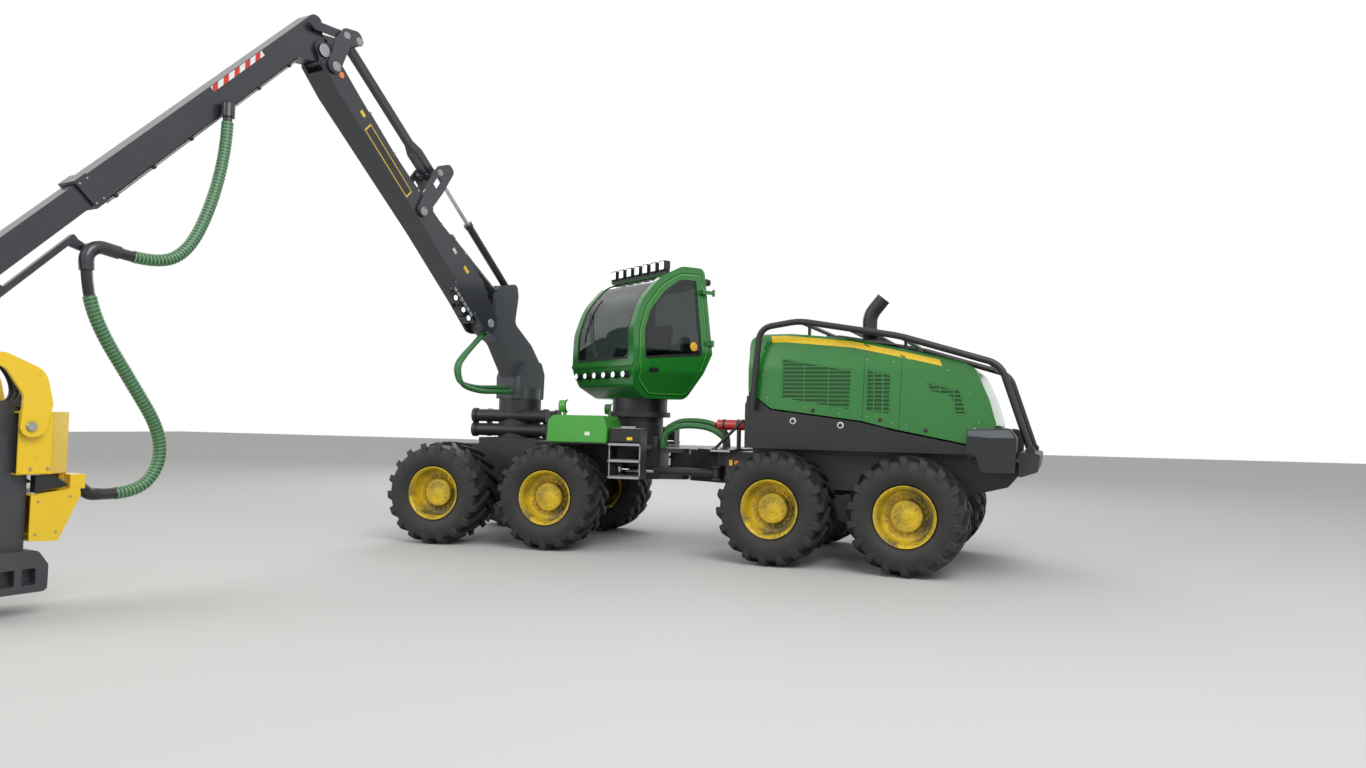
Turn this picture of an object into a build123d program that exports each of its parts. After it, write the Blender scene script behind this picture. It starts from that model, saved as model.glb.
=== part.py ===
"""Eight-wheel forestry harvester: articulated carrier, turning cab, parallel crane and felling head.

Millimetres. Before the last move X points forward, Y to the machine's left and Z up, with x = 0 at
the middle of the front bogies, y = 0 on the centreline and z = 0 on the ground. The crane, the jib,
the cab and the head are each built along their own axes and then placed at their parked angles.
"""

from build123d import *
import math
import os

# Wheels and bogies
tyre_diameter = 1333
tyre_width = 700
lug_height = 46
lug_count = 16
rim_radius = 344.5
rim_gap = 0.5
wheel_track = 2200
bogie_spacing = 1550
hub_height = tyre_diameter / 2
spindle_radius = 70
running_gap = 0.06
bogie_box_inner = 520
bogie_box_outer = 700
bogie_box_height = 300
axle_tube_radius = 135

# Carrier frames and the joint between them
joint_x = -2200
rear_axle_x = -4690
frame_top = 1300
frame_bottom = 880
front_half_width = 430
rear_half_width = 700
joint_pin_radius = 60
joint_gap = 5
ear_thickness = 60
bend_parked = -9.5
joint_hose_radius = 40

# Towing eyes on the nose
tow_side = 260
tow_height = 1060
tow_thickness = 36
tow_bore = 30

# Hood, guard and panels behind the joint
hood_half_width = 930
hood_wall = 25
hood_seam = 6
seam_depth = 15
panel_wall = 30
guard_tube_radius = 38
guard_half_width = 1005
hood_hinge = (-6740, 1425)
hinge_side = 900
grille_slat = 16

# Cab
cab_x = -1600
cab_turn_parked = 50
cab_half_width = 780
cab_wall = 50
cab_base_top = 1790
turn_gap = 2
cab_pivot_radius = 200
cab_pivot_height = 60
door_gap = 8
glass_thickness = 8

# Crane: pins in the plane of the boom, measured from the slewing axis and the ground
crane_x = 200
slew_parked = 75
slew_pivot_radius = 120
slew_pivot_height = 100
boom_pin = (890, 2940)
lift_pin = (670, 3390)
jib_cylinder_pin = (360, 3485)
boom_angle = 42.93
boom_length = 3920
boom_half_width = 170
boom_plate = 32
jib_angle = -46.5
jib_length = 3160
jib_half_width = 110
jib_low = 95
jib_high = 345
jib_wall = 13
slide_gap = 5
tip_along = 4330
tip_up = 219

# Crane pins measured along the boom and square to it, from the boom's base pin
rocker_pin = (1830, -20)
rocker_top = (1930, 700)
rocker_tie = (1850, 360)
bar_pin = (2010, 560)
fork_half = 92
fork_slot_half = 46
fork_depth = 350
lift_eye = (1760, 212)
lever_pin = (boom_length - 191, -14)
link_pin = (boom_length - 13, 368)
lever_top = (boom_length - 145, 490)
jib_link_pin = (boom_length + 252, 80)
pin_radius = 40

# Felling head, hanging upright below the tip
tip_link_length = 290
rotator_radius = 125
rotator_height = 235
head_turn = 0
head_bottom = 190
head_top = 1700
tilt_pin = (-360, 1500)
tilt_side = 346
arm_pin_side = 330
roller_axis = (330, 270)
roller_radius = 190
roller_height = 420
saw_pin = (60, -260)
saw_height = 275

# Free hoses beside the crane: out from the slewing axis, and up from the ground
hose_diameter = 110
hose_side = 175
hose_upper_route = [(4862, 4522), (4862, 4220), (4987, 3630), (5195, 3141), (5489, 2971), (5825, 3018)]
hose_lower_route = [
    (6085, 2824), (6068, 2630), (5949, 2319), (5672, 1905), (5381, 1458), (5381, 1123), (5596, 908), (5899, 925),
]


# Outlines and simple solids

def outline(rows):
    """A face from rows of (across, up, corner radius)."""
    corners = [(a, b) for a, b, _ in rows]
    return make_face(FilletPolyline(*corners, radius=[r for _, _, r in rows], close=True))


def side_slab(rows, y0, y1):
    """An outline in x and z, as thick as from y0 to y1."""
    return Pos(0, y1, 0) * extrude(Plane.XZ * outline(rows), amount=y1 - y0)


def front_slab(rows, x0, x1):
    """An outline in y and z, as deep as from x0 to x1."""
    return Pos(x0, 0, 0) * extrude(Plane.YZ * outline(rows), amount=x1 - x0)


def top_slab(rows, z0, z1):
    """An outline in x and y, from z0 up to z1."""
    return Pos(0, 0, z0) * extrude(outline(rows), amount=z1 - z0)


def block(x0, x1, y0, y1, z0, z1):
    middle = Pos((x0 + x1) / 2, (y0 + y1) / 2, (z0 + z1) / 2)
    return middle * Box(x1 - x0, y1 - y0, z1 - z0)


def rod(start, end, radius):
    """A round bar from one point to another."""
    start, end = Vector(*start), Vector(*end)
    along = Plane(origin=start, z_dir=end - start)
    return along * Cylinder(radius, (end - start).length, align=(Align.CENTER, Align.CENTER, Align.MIN))


def cross_rod(x, z, radius, y0, y1):
    """A round bar along Y."""
    return rod((x, y0, z), (x, y1, z), radius)


def bent_tube(points, radii, radius):
    """A round tube of straight runs and arcs."""
    path = FilletPolyline(*points, radius=radii)
    return sweep(Plane(origin=path @ 0, z_dir=path % 0) * Circle(radius), path=path)


def both_sides(solid):
    """The solid and its mirror image across the middle plane."""
    return [solid, mirror(solid, about=Plane.XZ)]


def hull_plate(points, radius, y0, y1):
    """A plate that wraps round discs at the given points, in order."""
    face = Plane.XZ * make_hull([e for x, z in points for e in (Pos(x, z) * Circle(radius)).edges()])
    return Pos(0, y1, 0) * extrude(face, amount=y1 - y0)


def fused(solids):
    first, *rest = solids
    return first + rest if rest else first


# Where the turned and tilted parts stand

def swing(angle):
    """A turn in the plane of X and Z that takes +X towards +Z."""
    return Rot(0, -angle, 0)


def plane_turn(point, angle):
    """A point (across, up) turned about the origin."""
    c, s = math.cos(math.radians(angle)), math.sin(math.radians(angle))
    return point[0] * c - point[1] * s, point[0] * s + point[1] * c


def boom_to_crane(point):
    """From (along, up) on the boom to (out, height) in the crane's plane."""
    out, up = plane_turn(point, boom_angle)
    return boom_pin[0] + out, boom_pin[1] + up


def crane_to_boom(point):
    return plane_turn((point[0] - boom_pin[0], point[1] - boom_pin[1]), -boom_angle)


def jib_to_crane(point):
    out, up = plane_turn(point, jib_angle)
    knee = boom_to_crane((boom_length, 0))
    return knee[0] + out, knee[1] + up


def crane_to_jib(point):
    knee = boom_to_crane((boom_length, 0))
    return plane_turn((point[0] - knee[0], point[1] - knee[1]), -jib_angle)


knee_pin = boom_to_crane((boom_length, 0))
tip_pin = jib_to_crane((tip_along, tip_up))
crane_place = Pos(crane_x, 0, 0) * Rot(0, 0, slew_parked)
boom_place = crane_place * Pos(boom_pin[0], 0, boom_pin[1]) * swing(boom_angle)
jib_place = crane_place * Pos(knee_pin[0], 0, knee_pin[1]) * swing(jib_angle)
tip_place = crane_place * Pos(tip_pin[0], 0, tip_pin[1])
head_place = crane_place * Pos(tip_pin[0], 0, 0) * Rot(0, 0, head_turn)
cab_place = Pos(cab_x, 0, 0) * Rot(0, 0, cab_turn_parked)
rear_place = Pos(joint_x, 0, 0) * Rot(0, 0, bend_parked) * Pos(-joint_x, 0, 0)

nodes = {}
cords = {}


def keep(name, solids, place=Location()):
    """Stores the solids of one named piece at their place."""
    nodes[name] = place * fused(list(solids))


# Wheels

def tyre():
    """A tyre about Y with chevron lugs: rings of points joined by flat faces."""
    root, tip = tyre_diameter / 2 - lug_height, tyre_diameter / 2
    half = tyre_width / 2
    # y, turn of the lugs in degrees, root radius, tip radius
    rings = (
        (-half, 22, root - 62, tip - 70),
        (-0.76 * half, 17, root, tip),
        (0, 0, root, tip),
        (0.76 * half, 17, root, tip),
        (half, 22, root - 62, tip - 70),
    )
    pitch = 360 / lug_count
    # angle within one pitch, and whether the point is on the lug's top
    tooth = ((0.10, False), (0.18, True), (0.44, True), (0.52, False))

    def ring_points(y, turn, low, high):
        points = []
        for lug in range(lug_count):
            for share, on_top in tooth:
                angle = math.radians((lug + share) * pitch + turn)
                r = high if on_top else low
                points.append(Vector(r * math.cos(angle), y, r * math.sin(angle)))
        return points

    loops = [ring_points(*ring) for ring in rings]
    count = len(loops[0])
    faces = []
    for low, high in zip(loops, loops[1:]):
        for i in range(count):
            j = (i + 1) % count
            for corners in ((low[i], low[j], high[j]), (low[i], high[j], high[i])):
                faces.append(make_face(Polyline(*corners, close=True)).face())
    for loop in (loops[0], loops[-1]):
        faces.append(make_face(Polyline(*loop, close=True)).face())
    solid = Solid(Shell(faces))
    bore_sides = 16
    bore = RegularPolygon((rim_radius + rim_gap) / math.cos(math.pi / bore_sides), bore_sides)
    return solid - extrude(Plane.XZ * bore, amount=tyre_width, both=True)


def rim():
    """A dished rim with its hub, about Y, outer face towards +Y."""
    half = tyre_width / 2
    # y, radius
    profile = (
        (-half + 30, rim_radius),
        (half - 30, rim_radius),
        (half - 30, rim_radius - 26),
        (half - 60, rim_radius - 34),
        (110, rim_radius - 44),
        (95, 190),
        (165, 165),
        (180, 0),
        (20, 0),
        (20, 215),
        (60, 235),
        (60, rim_radius - 44),
        (-half + 60, rim_radius - 34),
        (-half + 30, rim_radius - 26),
    )
    face = make_face(Polyline(*((r, y) for y, r in profile), close=True))
    solid = revolve(face, axis=Axis.Y)
    bore = cross_rod(0, 0, spindle_radius + running_gap, 20, 140)
    nuts = [cross_rod(135 * math.cos(a), 135 * math.sin(a), 16, 160, 190)
            for a in (math.radians(36 * k) for k in range(10))]
    return solid - bore + nuts


# name, x of the bogie, +1 front or -1 rear wheel of it, place
bogies = (("front", 0, Location()), ("rear", rear_axle_x, rear_place))
wheel_places = {}
tyre_solid, rim_solid = tyre(), rim()
for end, x_bogie, place in bogies:
    for side_name, side in (("left", 1), ("right", -1)):
        for position, ahead in (("fore", 1), ("aft", -1)):
            hub = (x_bogie + ahead * bogie_spacing / 2, side * wheel_track / 2, hub_height)
            turn = Rot(0, 0, 0) if side > 0 else Rot(0, 0, 180)
            name = f"wheel_{end}_{side_name}_{position}"
            wheel_places[name] = place * Pos(*hub)
            keep(name, [tyre_solid, rim_solid], place * Pos(*hub) * turn)


def bogie_axle(x):
    """A driven axle with a bogie gear case and two spindles on each side."""
    axle_half = bogie_box_inner + 40
    pieces = [cross_rod(x, hub_height, axle_tube_radius, -axle_half, axle_half)]
    bell = Plane(origin=(x, 0, hub_height)) * Sphere(230)
    pieces.append(bell & block(x - 230, x + 230, -200, 200, hub_height - 205, hub_height + 205))
    pieces.append(block(x - 190, x + 190, -bogie_box_inner, bogie_box_inner, hub_height, frame_bottom))
    half_spacing = bogie_spacing / 2
    low, high = hub_height - bogie_box_height / 2, hub_height + bogie_box_height / 2
    case = [
        (x - half_spacing - 160, low + 40, 110), (x - half_spacing * 0.45, low - 20, 90),
        (x + half_spacing * 0.45, low - 20, 90), (x + half_spacing + 160, low + 40, 110),
        (x + half_spacing + 160, high, 110), (x - half_spacing - 160, high, 110),
    ]
    pieces += both_sides(side_slab(case, bogie_box_inner, bogie_box_outer))
    hub_end = wheel_track / 2 + 15
    for ahead in (-1, 1):
        hub_x = x + ahead * half_spacing
        pieces += both_sides(cross_rod(hub_x, hub_height, 190, bogie_box_outer - 20, hub_end))
        pieces += both_sides(cross_rod(hub_x, hub_height, spindle_radius, hub_end - 10, hub_end + 110))
    pieces += both_sides(cross_rod(x, hub_height, 170, bogie_box_outer - 10, bogie_box_outer + 60))
    return fused(pieces)


keep("front_axle", [bogie_axle(0)])
keep("rear_axle", [bogie_axle(rear_axle_x)], rear_place)


# Front frame, with the steps, covers and the seats of crane and cab

def front_frame():
    nose, tail, neck = 1060, joint_x + 420, joint_x + 230
    body = side_slab([
        (tail, frame_bottom, 20), (tail, frame_top, 20), (nose - 130, frame_top, 60),
        (nose, frame_top - 130, 40), (nose, frame_bottom + 90, 60), (nose - 150, frame_bottom, 60),
    ], -front_half_width, front_half_width)
    neck_rows = [(neck, -260, 20), (tail + 10, -front_half_width, 0), (tail + 10, front_half_width, 0), (neck, 260, 20)]
    pieces = [body, top_slab(neck_rows, frame_bottom, frame_top)]
    ear = [(joint_x - 130, -130, 120), (neck + 20, -245, 20), (neck + 20, 245, 20), (joint_x - 130, 130, 120)]
    for z in (frame_bottom, frame_top - ear_thickness):
        pieces.append(top_slab(ear, z, z + ear_thickness))
    pieces.append(rod((joint_x, 0, frame_bottom + 10), (joint_x, 0, frame_top - 10), joint_pin_radius))
    pieces.append(block(-1490, -480, -1120, 1120, frame_top + 55, frame_top + 75))
    pieces.append(block(-1500, -480, -front_half_width, front_half_width, frame_top - 5, frame_top + 60))
    for side in (-1, 1):
        lug = [(steer_front[0] - 90, 0, 0), (steer_front[0] + 130, 0, 0), (steer_front[0] + 60, 140, 40), (steer_front[0] - 60, 140, 40)]
        for z in (steer_height - 75, steer_height + 45):
            plate = Pos(0, front_half_width - 5, 0) * top_slab(lug, z, z + 30)
            pieces.append(plate if side > 0 else mirror(plate, about=Plane.XZ))
            cap = rod((steer_front[0], side * steer_side, z - 6), (steer_front[0], side * steer_side, z + 36), steer_pin_radius)
            pieces.append(cap - block(-9000, 9000, -9000, 9000, steer_height - 45, steer_height + 45))
    solid = fused(pieces)
    for side in (-1, 1):
        slot = sorted((side * steer_slot_depth, side * (front_half_width + 20)))
        solid -= block(neck - 10, steer_front[0] + 170, *slot, steer_height - 45, steer_height + 45)
    tow = top_slab(
        [(nose - 100, tow_side - 62, 10), (nose + 132, tow_side - 62, 60), (nose + 132, tow_side + 62, 60), (nose - 100, tow_side + 62, 10)],
        tow_height - tow_thickness / 2, tow_height + tow_thickness / 2)
    tow -= rod((nose + 70, tow_side, tow_height - 50), (nose + 70, tow_side, tow_height + 50), tow_bore)
    return fused([solid, *both_sides(tow)])


steer_side = 505
steer_height = 1010
steer_front = (-1480, steer_side)
steer_rear = (-2930, steer_side)
steer_pin_radius = 25
steer_barrel_radius = 50
steer_barrel_length = 860
steer_rod_radius = 30
steer_slot_depth = 290
keep("front_frame", [front_frame()])

cover_low, cover_high = frame_top + 75, 1720
cover = side_slab([
    (-1480, cover_low, 10), (-670, cover_low, 10), (-690, cover_high - 60, 60), (-760, cover_high, 40),
    (-1440, cover_high, 60), (-1490, cover_high - 160, 60),
], 500, 1130)
lamp_stand = rod((-850, 960, cover_high - 5), (-850, 960, cover_high + 60), 24)
lamp = Pos(-835, 960, cover_high + 120) * Rot(0, 90, 0) * Cylinder(85, 90)
keep("front_covers", both_sides(fused([cover, lamp_stand, lamp])))


def steps():
    """A ladder of plate with three treads, hung from the deck on each side."""
    x0, x1, y0, y1 = -1925, -1505, 760, 1110
    treads = [block(x0, x1, y0, y1, z, z + 30) for z in (920, 1130, 1340)]
    sides = [side_slab([(x, 920, 5), (x + 14, 920, 5), (x + 14, 1560, 5), (x, 1560, 5)], y0, y1 - 40) for x in (x0, x1 - 14)]
    hanger = block(x0 + 20, x1 - 20, front_half_width, y0 + 10, 1290, 1345)
    arm = block(-1760, -1660, front_half_width, y0 + 10, 1100, 1160)
    case = block(x0, x1, y0, y1 - 40, 1390, 1560)
    return fused([*treads, *sides, hanger, arm, case])


keep("access_steps", both_sides(steps()))


def crane_base():
    """The slewing housing with its four rack cylinders lying along the machine."""
    top = boom_pin[1] - 1000
    housing = rod((crane_x, 0, frame_top), (crane_x, 0, top), 300)
    foot = block(crane_x - 420, crane_x + 430, -front_half_width + 20, front_half_width - 20, frame_top, frame_top + 90)
    pieces = [housing, foot]
    for y in (-225, 225):
        for z in (frame_top + 200, frame_top + 400):
            pieces.append(rod((crane_x - 480, y, z), (crane_x + 560, y, z), 88))
            pieces.append(rod((crane_x + 545, y, z), (crane_x + 600, y, z), 104))
            pieces.append(rod((crane_x - 520, y, z), (crane_x - 465, y, z), 104))
    pieces.append(rod((crane_x, 0, top - 10), (crane_x, 0, top + slew_pivot_height), slew_pivot_radius))
    return fused(pieces)


keep("crane_base", [crane_base()])

turntable = [
    rod((cab_x, 0, frame_top), (cab_x, 0, cab_base_top - 60), 330),
    rod((cab_x, 0, cab_base_top - 70), (cab_x, 0, cab_base_top), 430),
    rod((cab_x, 0, cab_base_top - 10), (cab_x, 0, cab_base_top + cab_pivot_height), cab_pivot_radius),
    block(cab_x - 300, cab_x + 450, -380, 380, frame_top, frame_top + 160),
]
cab_base = fused(turntable) - block(-1500, -480, -1120, 1120, frame_top - 10, frame_top + 75)
keep("cab_base", [cab_base])


# Rear frame, its panels, and what stands on it

def rear_frame():
    neck, shoulder, tail = joint_x - 230, joint_x - 710, -6560
    tongue_low, tongue_high = frame_bottom + ear_thickness + joint_gap, frame_top - ear_thickness - joint_gap
    tongue = top_slab([(joint_x + 130, -110, 105), (joint_x + 130, 110, 105), (neck - 20, 190, 20), (neck - 20, -190, 20)], tongue_low, tongue_high)
    neck_rows = [(neck, -200, 20), (neck, 200, 20), (shoulder + 10, 400, 20), (shoulder - 20, front_half_width, 0), (shoulder - 20, -front_half_width, 0), (shoulder + 10, -400, 20)]
    front = top_slab(neck_rows, frame_bottom, frame_top)
    narrow = block(-3260, shoulder, -front_half_width, front_half_width, frame_bottom, frame_top)
    wide = side_slab([
        (-3120, frame_bottom + 60, 30), (-3120, frame_top, 10), (tail, frame_top, 10), (tail - 70, frame_top - 130, 20),
        (tail + 60, frame_bottom + 120, 60), (-6050, frame_bottom, 60), (-3300, frame_bottom, 60),
    ], -rear_half_width, rear_half_width)
    deck_rows = [(-3250, -900, 30), (-2960, -900, 60), (-2700, -620, 60), (-2700, 620, 60), (-2960, 900, 60), (-3250, 900, 30)]
    deck = top_slab(deck_rows, frame_top - 5, frame_top + 25)
    pieces = [tongue, front, narrow, wide, deck]
    for side in (-1, 1):
        lug = [(steer_rear[0] - 130, 0, 0), (steer_rear[0] + 90, 0, 0), (steer_rear[0] + 60, 140, 40), (steer_rear[0] - 60, 140, 40)]
        for z in (steer_height - 95, steer_height + 65):
            plate = Pos(0, front_half_width - 5, 0) * top_slab(lug, z, z + 30)
            pieces.append(plate if side > 0 else mirror(plate, about=Plane.XZ))
        pieces.append(rod((steer_rear[0], side * steer_side, steer_height - 95), (steer_rear[0], side * steer_side, steer_height + 95), steer_pin_radius))
    beam = side_slab([(-6625, 1130, 20), (-6820, 1200, 40), (-6840, 1390, 20), (-6625, 1410, 20)], -1100, 1100)
    hinge_lug = cross_rod(*hood_hinge, 50, hinge_side, hinge_side + 50)
    solid = fused([*pieces, beam, *both_sides(hinge_lug), block(-6650, -6540, -rear_half_width, rear_half_width, 1130, 1290)])
    solid -= rod((joint_x, 0, 0), (joint_x, 0, 2000), joint_pin_radius + running_gap)
    for side in (-1, 1):
        solid -= rod((-6720, side * 850, 1100), (-6720, side * 850, 1500), 32)
        solid -= cross_rod(*hood_hinge, 24 + running_gap, side * (hinge_side - 20), side * (hinge_side + 60))
        solid -= cross_rod(*hood_hinge, 62, side * (hinge_side + 50), side * (hinge_side + 165))
    return solid


keep("rear_frame", [rear_frame()], rear_place)

pan_low, pan_high = frame_top + 60, frame_top + 95
skirt_front, skirt_rear = -3460, -6060
pan = block(skirt_rear, skirt_front, -hood_half_width, hood_half_width, pan_low, pan_high)
riser = block(skirt_rear, skirt_front, -660, 660, frame_top, pan_low)
skirt = side_slab([
    (skirt_front, pan_low, 5), (skirt_front, 2000, 5), (-3560, 2000, 60), (-3760, 1830, 100), (-4870, 1700, 40),
    (-5250, 1610, 40), (-6060, 1460, 20), (-6060, pan_low, 5),
], hood_half_width - panel_wall, hood_half_width)
bulkhead = front_slab([
    (-hood_half_width, pan_low, 5), (hood_half_width, pan_low, 5), (hood_half_width, 1900, 20), (800, 1990, 20),
    (770, 2700, 120), (-770, 2700, 120), (-800, 1990, 20), (-hood_half_width, 1900, 20),
], skirt_front - 2, skirt_front + 20)
corner_box = side_slab([
    (-6590, 1180, 20), (-6610, 1560, 20), (-6540, 1660, 20), (-6100, 1640, 20), (-6085, 1390, 40), (-6180, 1370, 60), (-6250, 1180, 40),
], hood_half_width + 20, 1230)
box_arm = block(-6560, -6260, rear_half_width, hood_half_width + 30, 1210, 1280)
keep("rear_skirts", [fused([pan, riser, bulkhead, *both_sides(skirt)]), *both_sides(fused([corner_box, box_arm]))], rear_place)

engine = block(-4950, -3850, -420, 420, pan_high, 2250)
keep("engine_block", [engine], rear_place)

bottle = fused([rod((-3320, 560, 1640), (-2960, 560, 1640), 70), rod((-2980, 560, 1640), (-2900, 560, 1640), 28)])
bottle_seats = [block(x - 15, x + 15, 520, 600, frame_top + 25, 1600) for x in (-3240, -3050)]
keep("fire_bottle", [fused([bottle, *bottle_seats])], rear_place)


# Hood with its seams, grilles and the guard that tips with it

# x, z, corner radius
hood_rows = [
    (-3480, 2070, 60), (-3475, 2700, 90), (-3560, 2775, 200), (-3900, 2785, 600), (-4740, 2700, 900), (-5380, 2560, 900),
    (-6010, 2415, 120), (-6160, 2330, 120), (-6310, 1980, 400), (-6390, 1690, 60), (-6330, 1640, 60), (-6070, 1480, 60),
    (-5260, 1630, 300), (-4870, 1720, 300), (-3770, 1850, 120),
]
# y, z, corner radius
hood_section = [
    (-hood_half_width, 1300, 0), (-hood_half_width, 2350, 300), (-hood_half_width + 120, 2790, 170), (0, 2830, 0),
    (hood_half_width - 120, 2790, 170), (hood_half_width, 2350, 300), (hood_half_width, 1300, 0),
]
seams = (-4870, -5300)
seam_lean = 0.10


def hood_block(inset):
    """The hood's outer form, or the space inside it, one wall in."""
    profile = outline(hood_rows)
    section = outline(hood_section)
    if inset:
        profile, section = offset(profile, -inset), offset(section, -inset)
    along = Pos(0, 1500, 0) * extrude(Plane.XZ * profile, amount=3000)
    return along & (Pos(-7000, 0, 0) * extrude(Plane.YZ * section, amount=4000))


# Grille windows: rows of (x, z) at their corners
grille_windows = (
    ((-3900, 2470), (-4770, 2320), (-4750, 1830), (-3900, 1960)),
    ((-4930, 2330), (-5230, 2270), (-5220, 1790), (-4920, 1810)),
    ((-5620, 2190), (-6000, 2090), (-6080, 1800), (-5940, 1800), (-5880, 2000), (-5640, 2060)),
)


def window_face(window, gap):
    return offset(outline([(x, z, 20) for x, z in window]), -gap) if gap else outline([(x, z, 20) for x, z in window])


def window_slab(window, gap, y0, y1):
    return Pos(0, y1, 0) * extrude(Plane.XZ * window_face(window, gap), amount=y1 - y0)


def hood_panels():
    shell = hood_block(0) - hood_block(hood_wall)
    shell -= side_slab([(-3700, 1200, 0), (-3700, 2100, 0), (-6330, 1660, 0), (-6330, 1200, 0)], -880, 880)
    shell -= block(-3700, -3400, -840, 840, 1900, 2640)
    for window in grille_windows:
        shell -= window_slab(window, 0, -1000, 1000)
    for x in seams:
        rows = [(x, 1300, 0), (x - hood_seam, 1300, 0), (x - hood_seam - seam_lean * 600, 2900, 0), (x - seam_lean * 600, 2900, 0)]
        shell -= side_slab(rows, -1100, 1100) - hood_block(seam_depth)
    return shell


def grilles():
    """Slatted inserts, each in the window cut for it."""
    pieces = []
    for window in grille_windows:
        inner = window_slab(window, 0, hood_half_width - hood_wall, hood_half_width - 6)
        hole = window_slab(window, 22, 800, 1000)
        low, high = min(z for _, z in window), max(z for _, z in window)
        left, right = min(x for x, _ in window), max(x for x, _ in window)
        slats = [block(left, right, hood_half_width - hood_wall + 3, hood_half_width - 9, z, z + grille_slat)
                 for z in range(int(low) + 40, int(high), 48)]
        ribs = [block(x - 8, x + 8, hood_half_width - hood_wall + 3, hood_half_width - 9, low, high)
                for x in (left * 0.67 + right * 0.33, left * 0.33 + right * 0.67)]
        pieces.append((inner - hole) + ((fused(slats + ribs)) & inner))
    return pieces


keep("hood_panels", [hood_panels()], rear_place)
keep("hood_grilles", [s for g in grilles() for s in both_sides(g)], rear_place)


def hood_guard():
    """Bent tubes over the hood, with cross tubes, hinge feet and the exhaust stack."""
    y = guard_half_width
    points = [(-3560, y, 1830), (-3640, y, 2830), (-4130, y, 2905), (-5320, y, 2705), (-6430, y, 2370), (hood_hinge[0], y, hood_hinge[1])]
    rail = bent_tube(points, [180, 700, 1500, 260], guard_tube_radius)
    foot = cross_rod(*hood_hinge, 50, hinge_side + 55, hinge_side + 155)
    hinge = cross_rod(*hood_hinge, 24, hinge_side - 5, y)
    pieces = [*both_sides(rail), *both_sides(foot), *both_sides(hinge)]
    for x, z in ((-4130, 2902), (-5320, 2705), (-6300, 2413)):
        pieces.append(cross_rod(x, z, 26, -y, y))
    pieces += both_sides(rod((-3594, hood_half_width + 0.3, 2250), (-3594, y, 2250), 22))
    hood_form = hood_block(0)
    for x, z in ((-4130, 2902), (-5320, 2705)):
        pieces += both_sides(rod((x, 500, z - 200), (x, 500, z), 20) - hood_form)
    plate = side_slab([(-4620, 2842, 5), (-4980, 2790, 5), (-4985, 2772, 5), (-4620, 2824, 5)], -y, y)
    stack = bent_tube([(-4790, 0, 2760), (-4790, 0, 3080), (-4960, 0, 3290)], [260], 92)
    return fused([*pieces, plate, stack])


keep("hood_guard", [hood_guard()], rear_place)


# Hoses over the joint, held at the front frame and free to flex to the rear one

def joint_hoses():
    hoses = []
    for y, low in ((80, 0), (190, 70)):
        hoses.append(bent_tube([
            (joint_x + 215, y, frame_top), (joint_x + 215, y, 1560 - low), (joint_x - 60, y, 1700 - low),
            (joint_x - 430, y + 60, 1690 - low), (joint_x - 690, y + 90, 1500 - low), (joint_x - 690, y + 90, frame_top + 25),
        ], [130, 320, 320, 120], joint_hose_radius))
    return hoses


keep("joint_hoses", joint_hoses())


# Steering cylinders beside the joint

def flat_rear(point):
    """Where a point of the straight rear frame stands in plan when parked."""
    x, y = plane_turn((point[0] - joint_x, point[1]), bend_parked)
    return x + joint_x, y


steer_places = {}
for name, side in (("left", 1), ("right", -1)):
    rear = flat_rear((steer_rear[0], side * steer_side))
    front = (steer_front[0], side * steer_side)
    reach = math.dist(rear, front)
    heading = math.degrees(math.atan2(front[1] - rear[1], front[0] - rear[0]))
    steer_place = Pos(rear[0], rear[1], steer_height) * Rot(0, 0, heading)
    steer_places[name] = (steer_place, rear, heading, reach)
    eye = rod((0, 0, -55), (0, 0, 55), 64)
    barrel = fused([eye, rod((45, 0, 0), (steer_barrel_length, 0, 0), steer_barrel_radius)])
    barrel -= rod((0, 0, -80), (0, 0, 80), steer_pin_radius + running_gap)
    barrel -= rod((85, 0, 0), (steer_barrel_length + 40, 0, 0), steer_rod_radius + running_gap)
    keep(f"steer_barrel_{name}", [barrel], steer_place)
    far_eye = rod((reach, 0, -35), (reach, 0, 35), 50) - rod((reach, 0, -80), (reach, 0, 80), steer_pin_radius + 1)
    rod_solid = rod((reach - 850, 0, 0), (reach - 35, 0, 0), steer_rod_radius)
    keep(f"steer_rod_{name}", [far_eye + rod_solid], steer_place)


# Cab

# x, z, corner radius
cab_rows = [
    (-330, 1965, 140), (340, 1965, 140), (590, 2130, 60), (650, 2400, 20), (645, 2860, 500), (520, 3240, 700),
    (210, 3590, 700), (-150, 3775, 400), (-545, 3785, 90), (-655, 2600, 60), (-510, 2330, 150),
]
# y, z, corner radius
cab_section = [
    (-600, 1940, 0), (-cab_half_width, 2330, 160), (-cab_half_width, 2620, 400), (-700, 3800, 0),
    (700, 3800, 0), (cab_half_width, 2620, 400), (cab_half_width, 2330, 160), (600, 1940, 0),
]
door_rows = [
    (-320, 2010, 120), (310, 2010, 120), (530, 2190, 80), (570, 2440, 20), (560, 2850, 400), (450, 3190, 600),
    (170, 3510, 600), (-150, 3690, 300), (-490, 3700, 30), (-590, 2640, 40), (-480, 2360, 100),
]
side_window_rows = [
    (470, 2480, 30), (470, 2860, 400), (370, 3140, 500), (120, 3420, 500), (-130, 3590, 200), (-400, 3600, 30), (-480, 2570, 30),
]
windscreen_rows = [(-660, 2470, 40), (-620, 3610, 60), (620, 3610, 60), (660, 2470, 40)]
rear_window_rows = [(-560, 2750, 40), (-540, 3560, 40), (540, 3560, 40), (560, 2750, 40)]


def cab_form(inset):
    """The cab's outer form, moved in by an inset."""
    profile, section = outline(cab_rows), outline(cab_section)
    if inset:
        profile, section = offset(profile, -inset), offset(section, -inset)
    along = Pos(0, 1000, 0) * extrude(Plane.XZ * profile, amount=2000)
    return along & (Pos(-1000, 0, 0) * extrude(Plane.YZ * section, amount=2000))


def shrunk(rows, gap):
    return offset(outline(rows), -gap)


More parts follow.
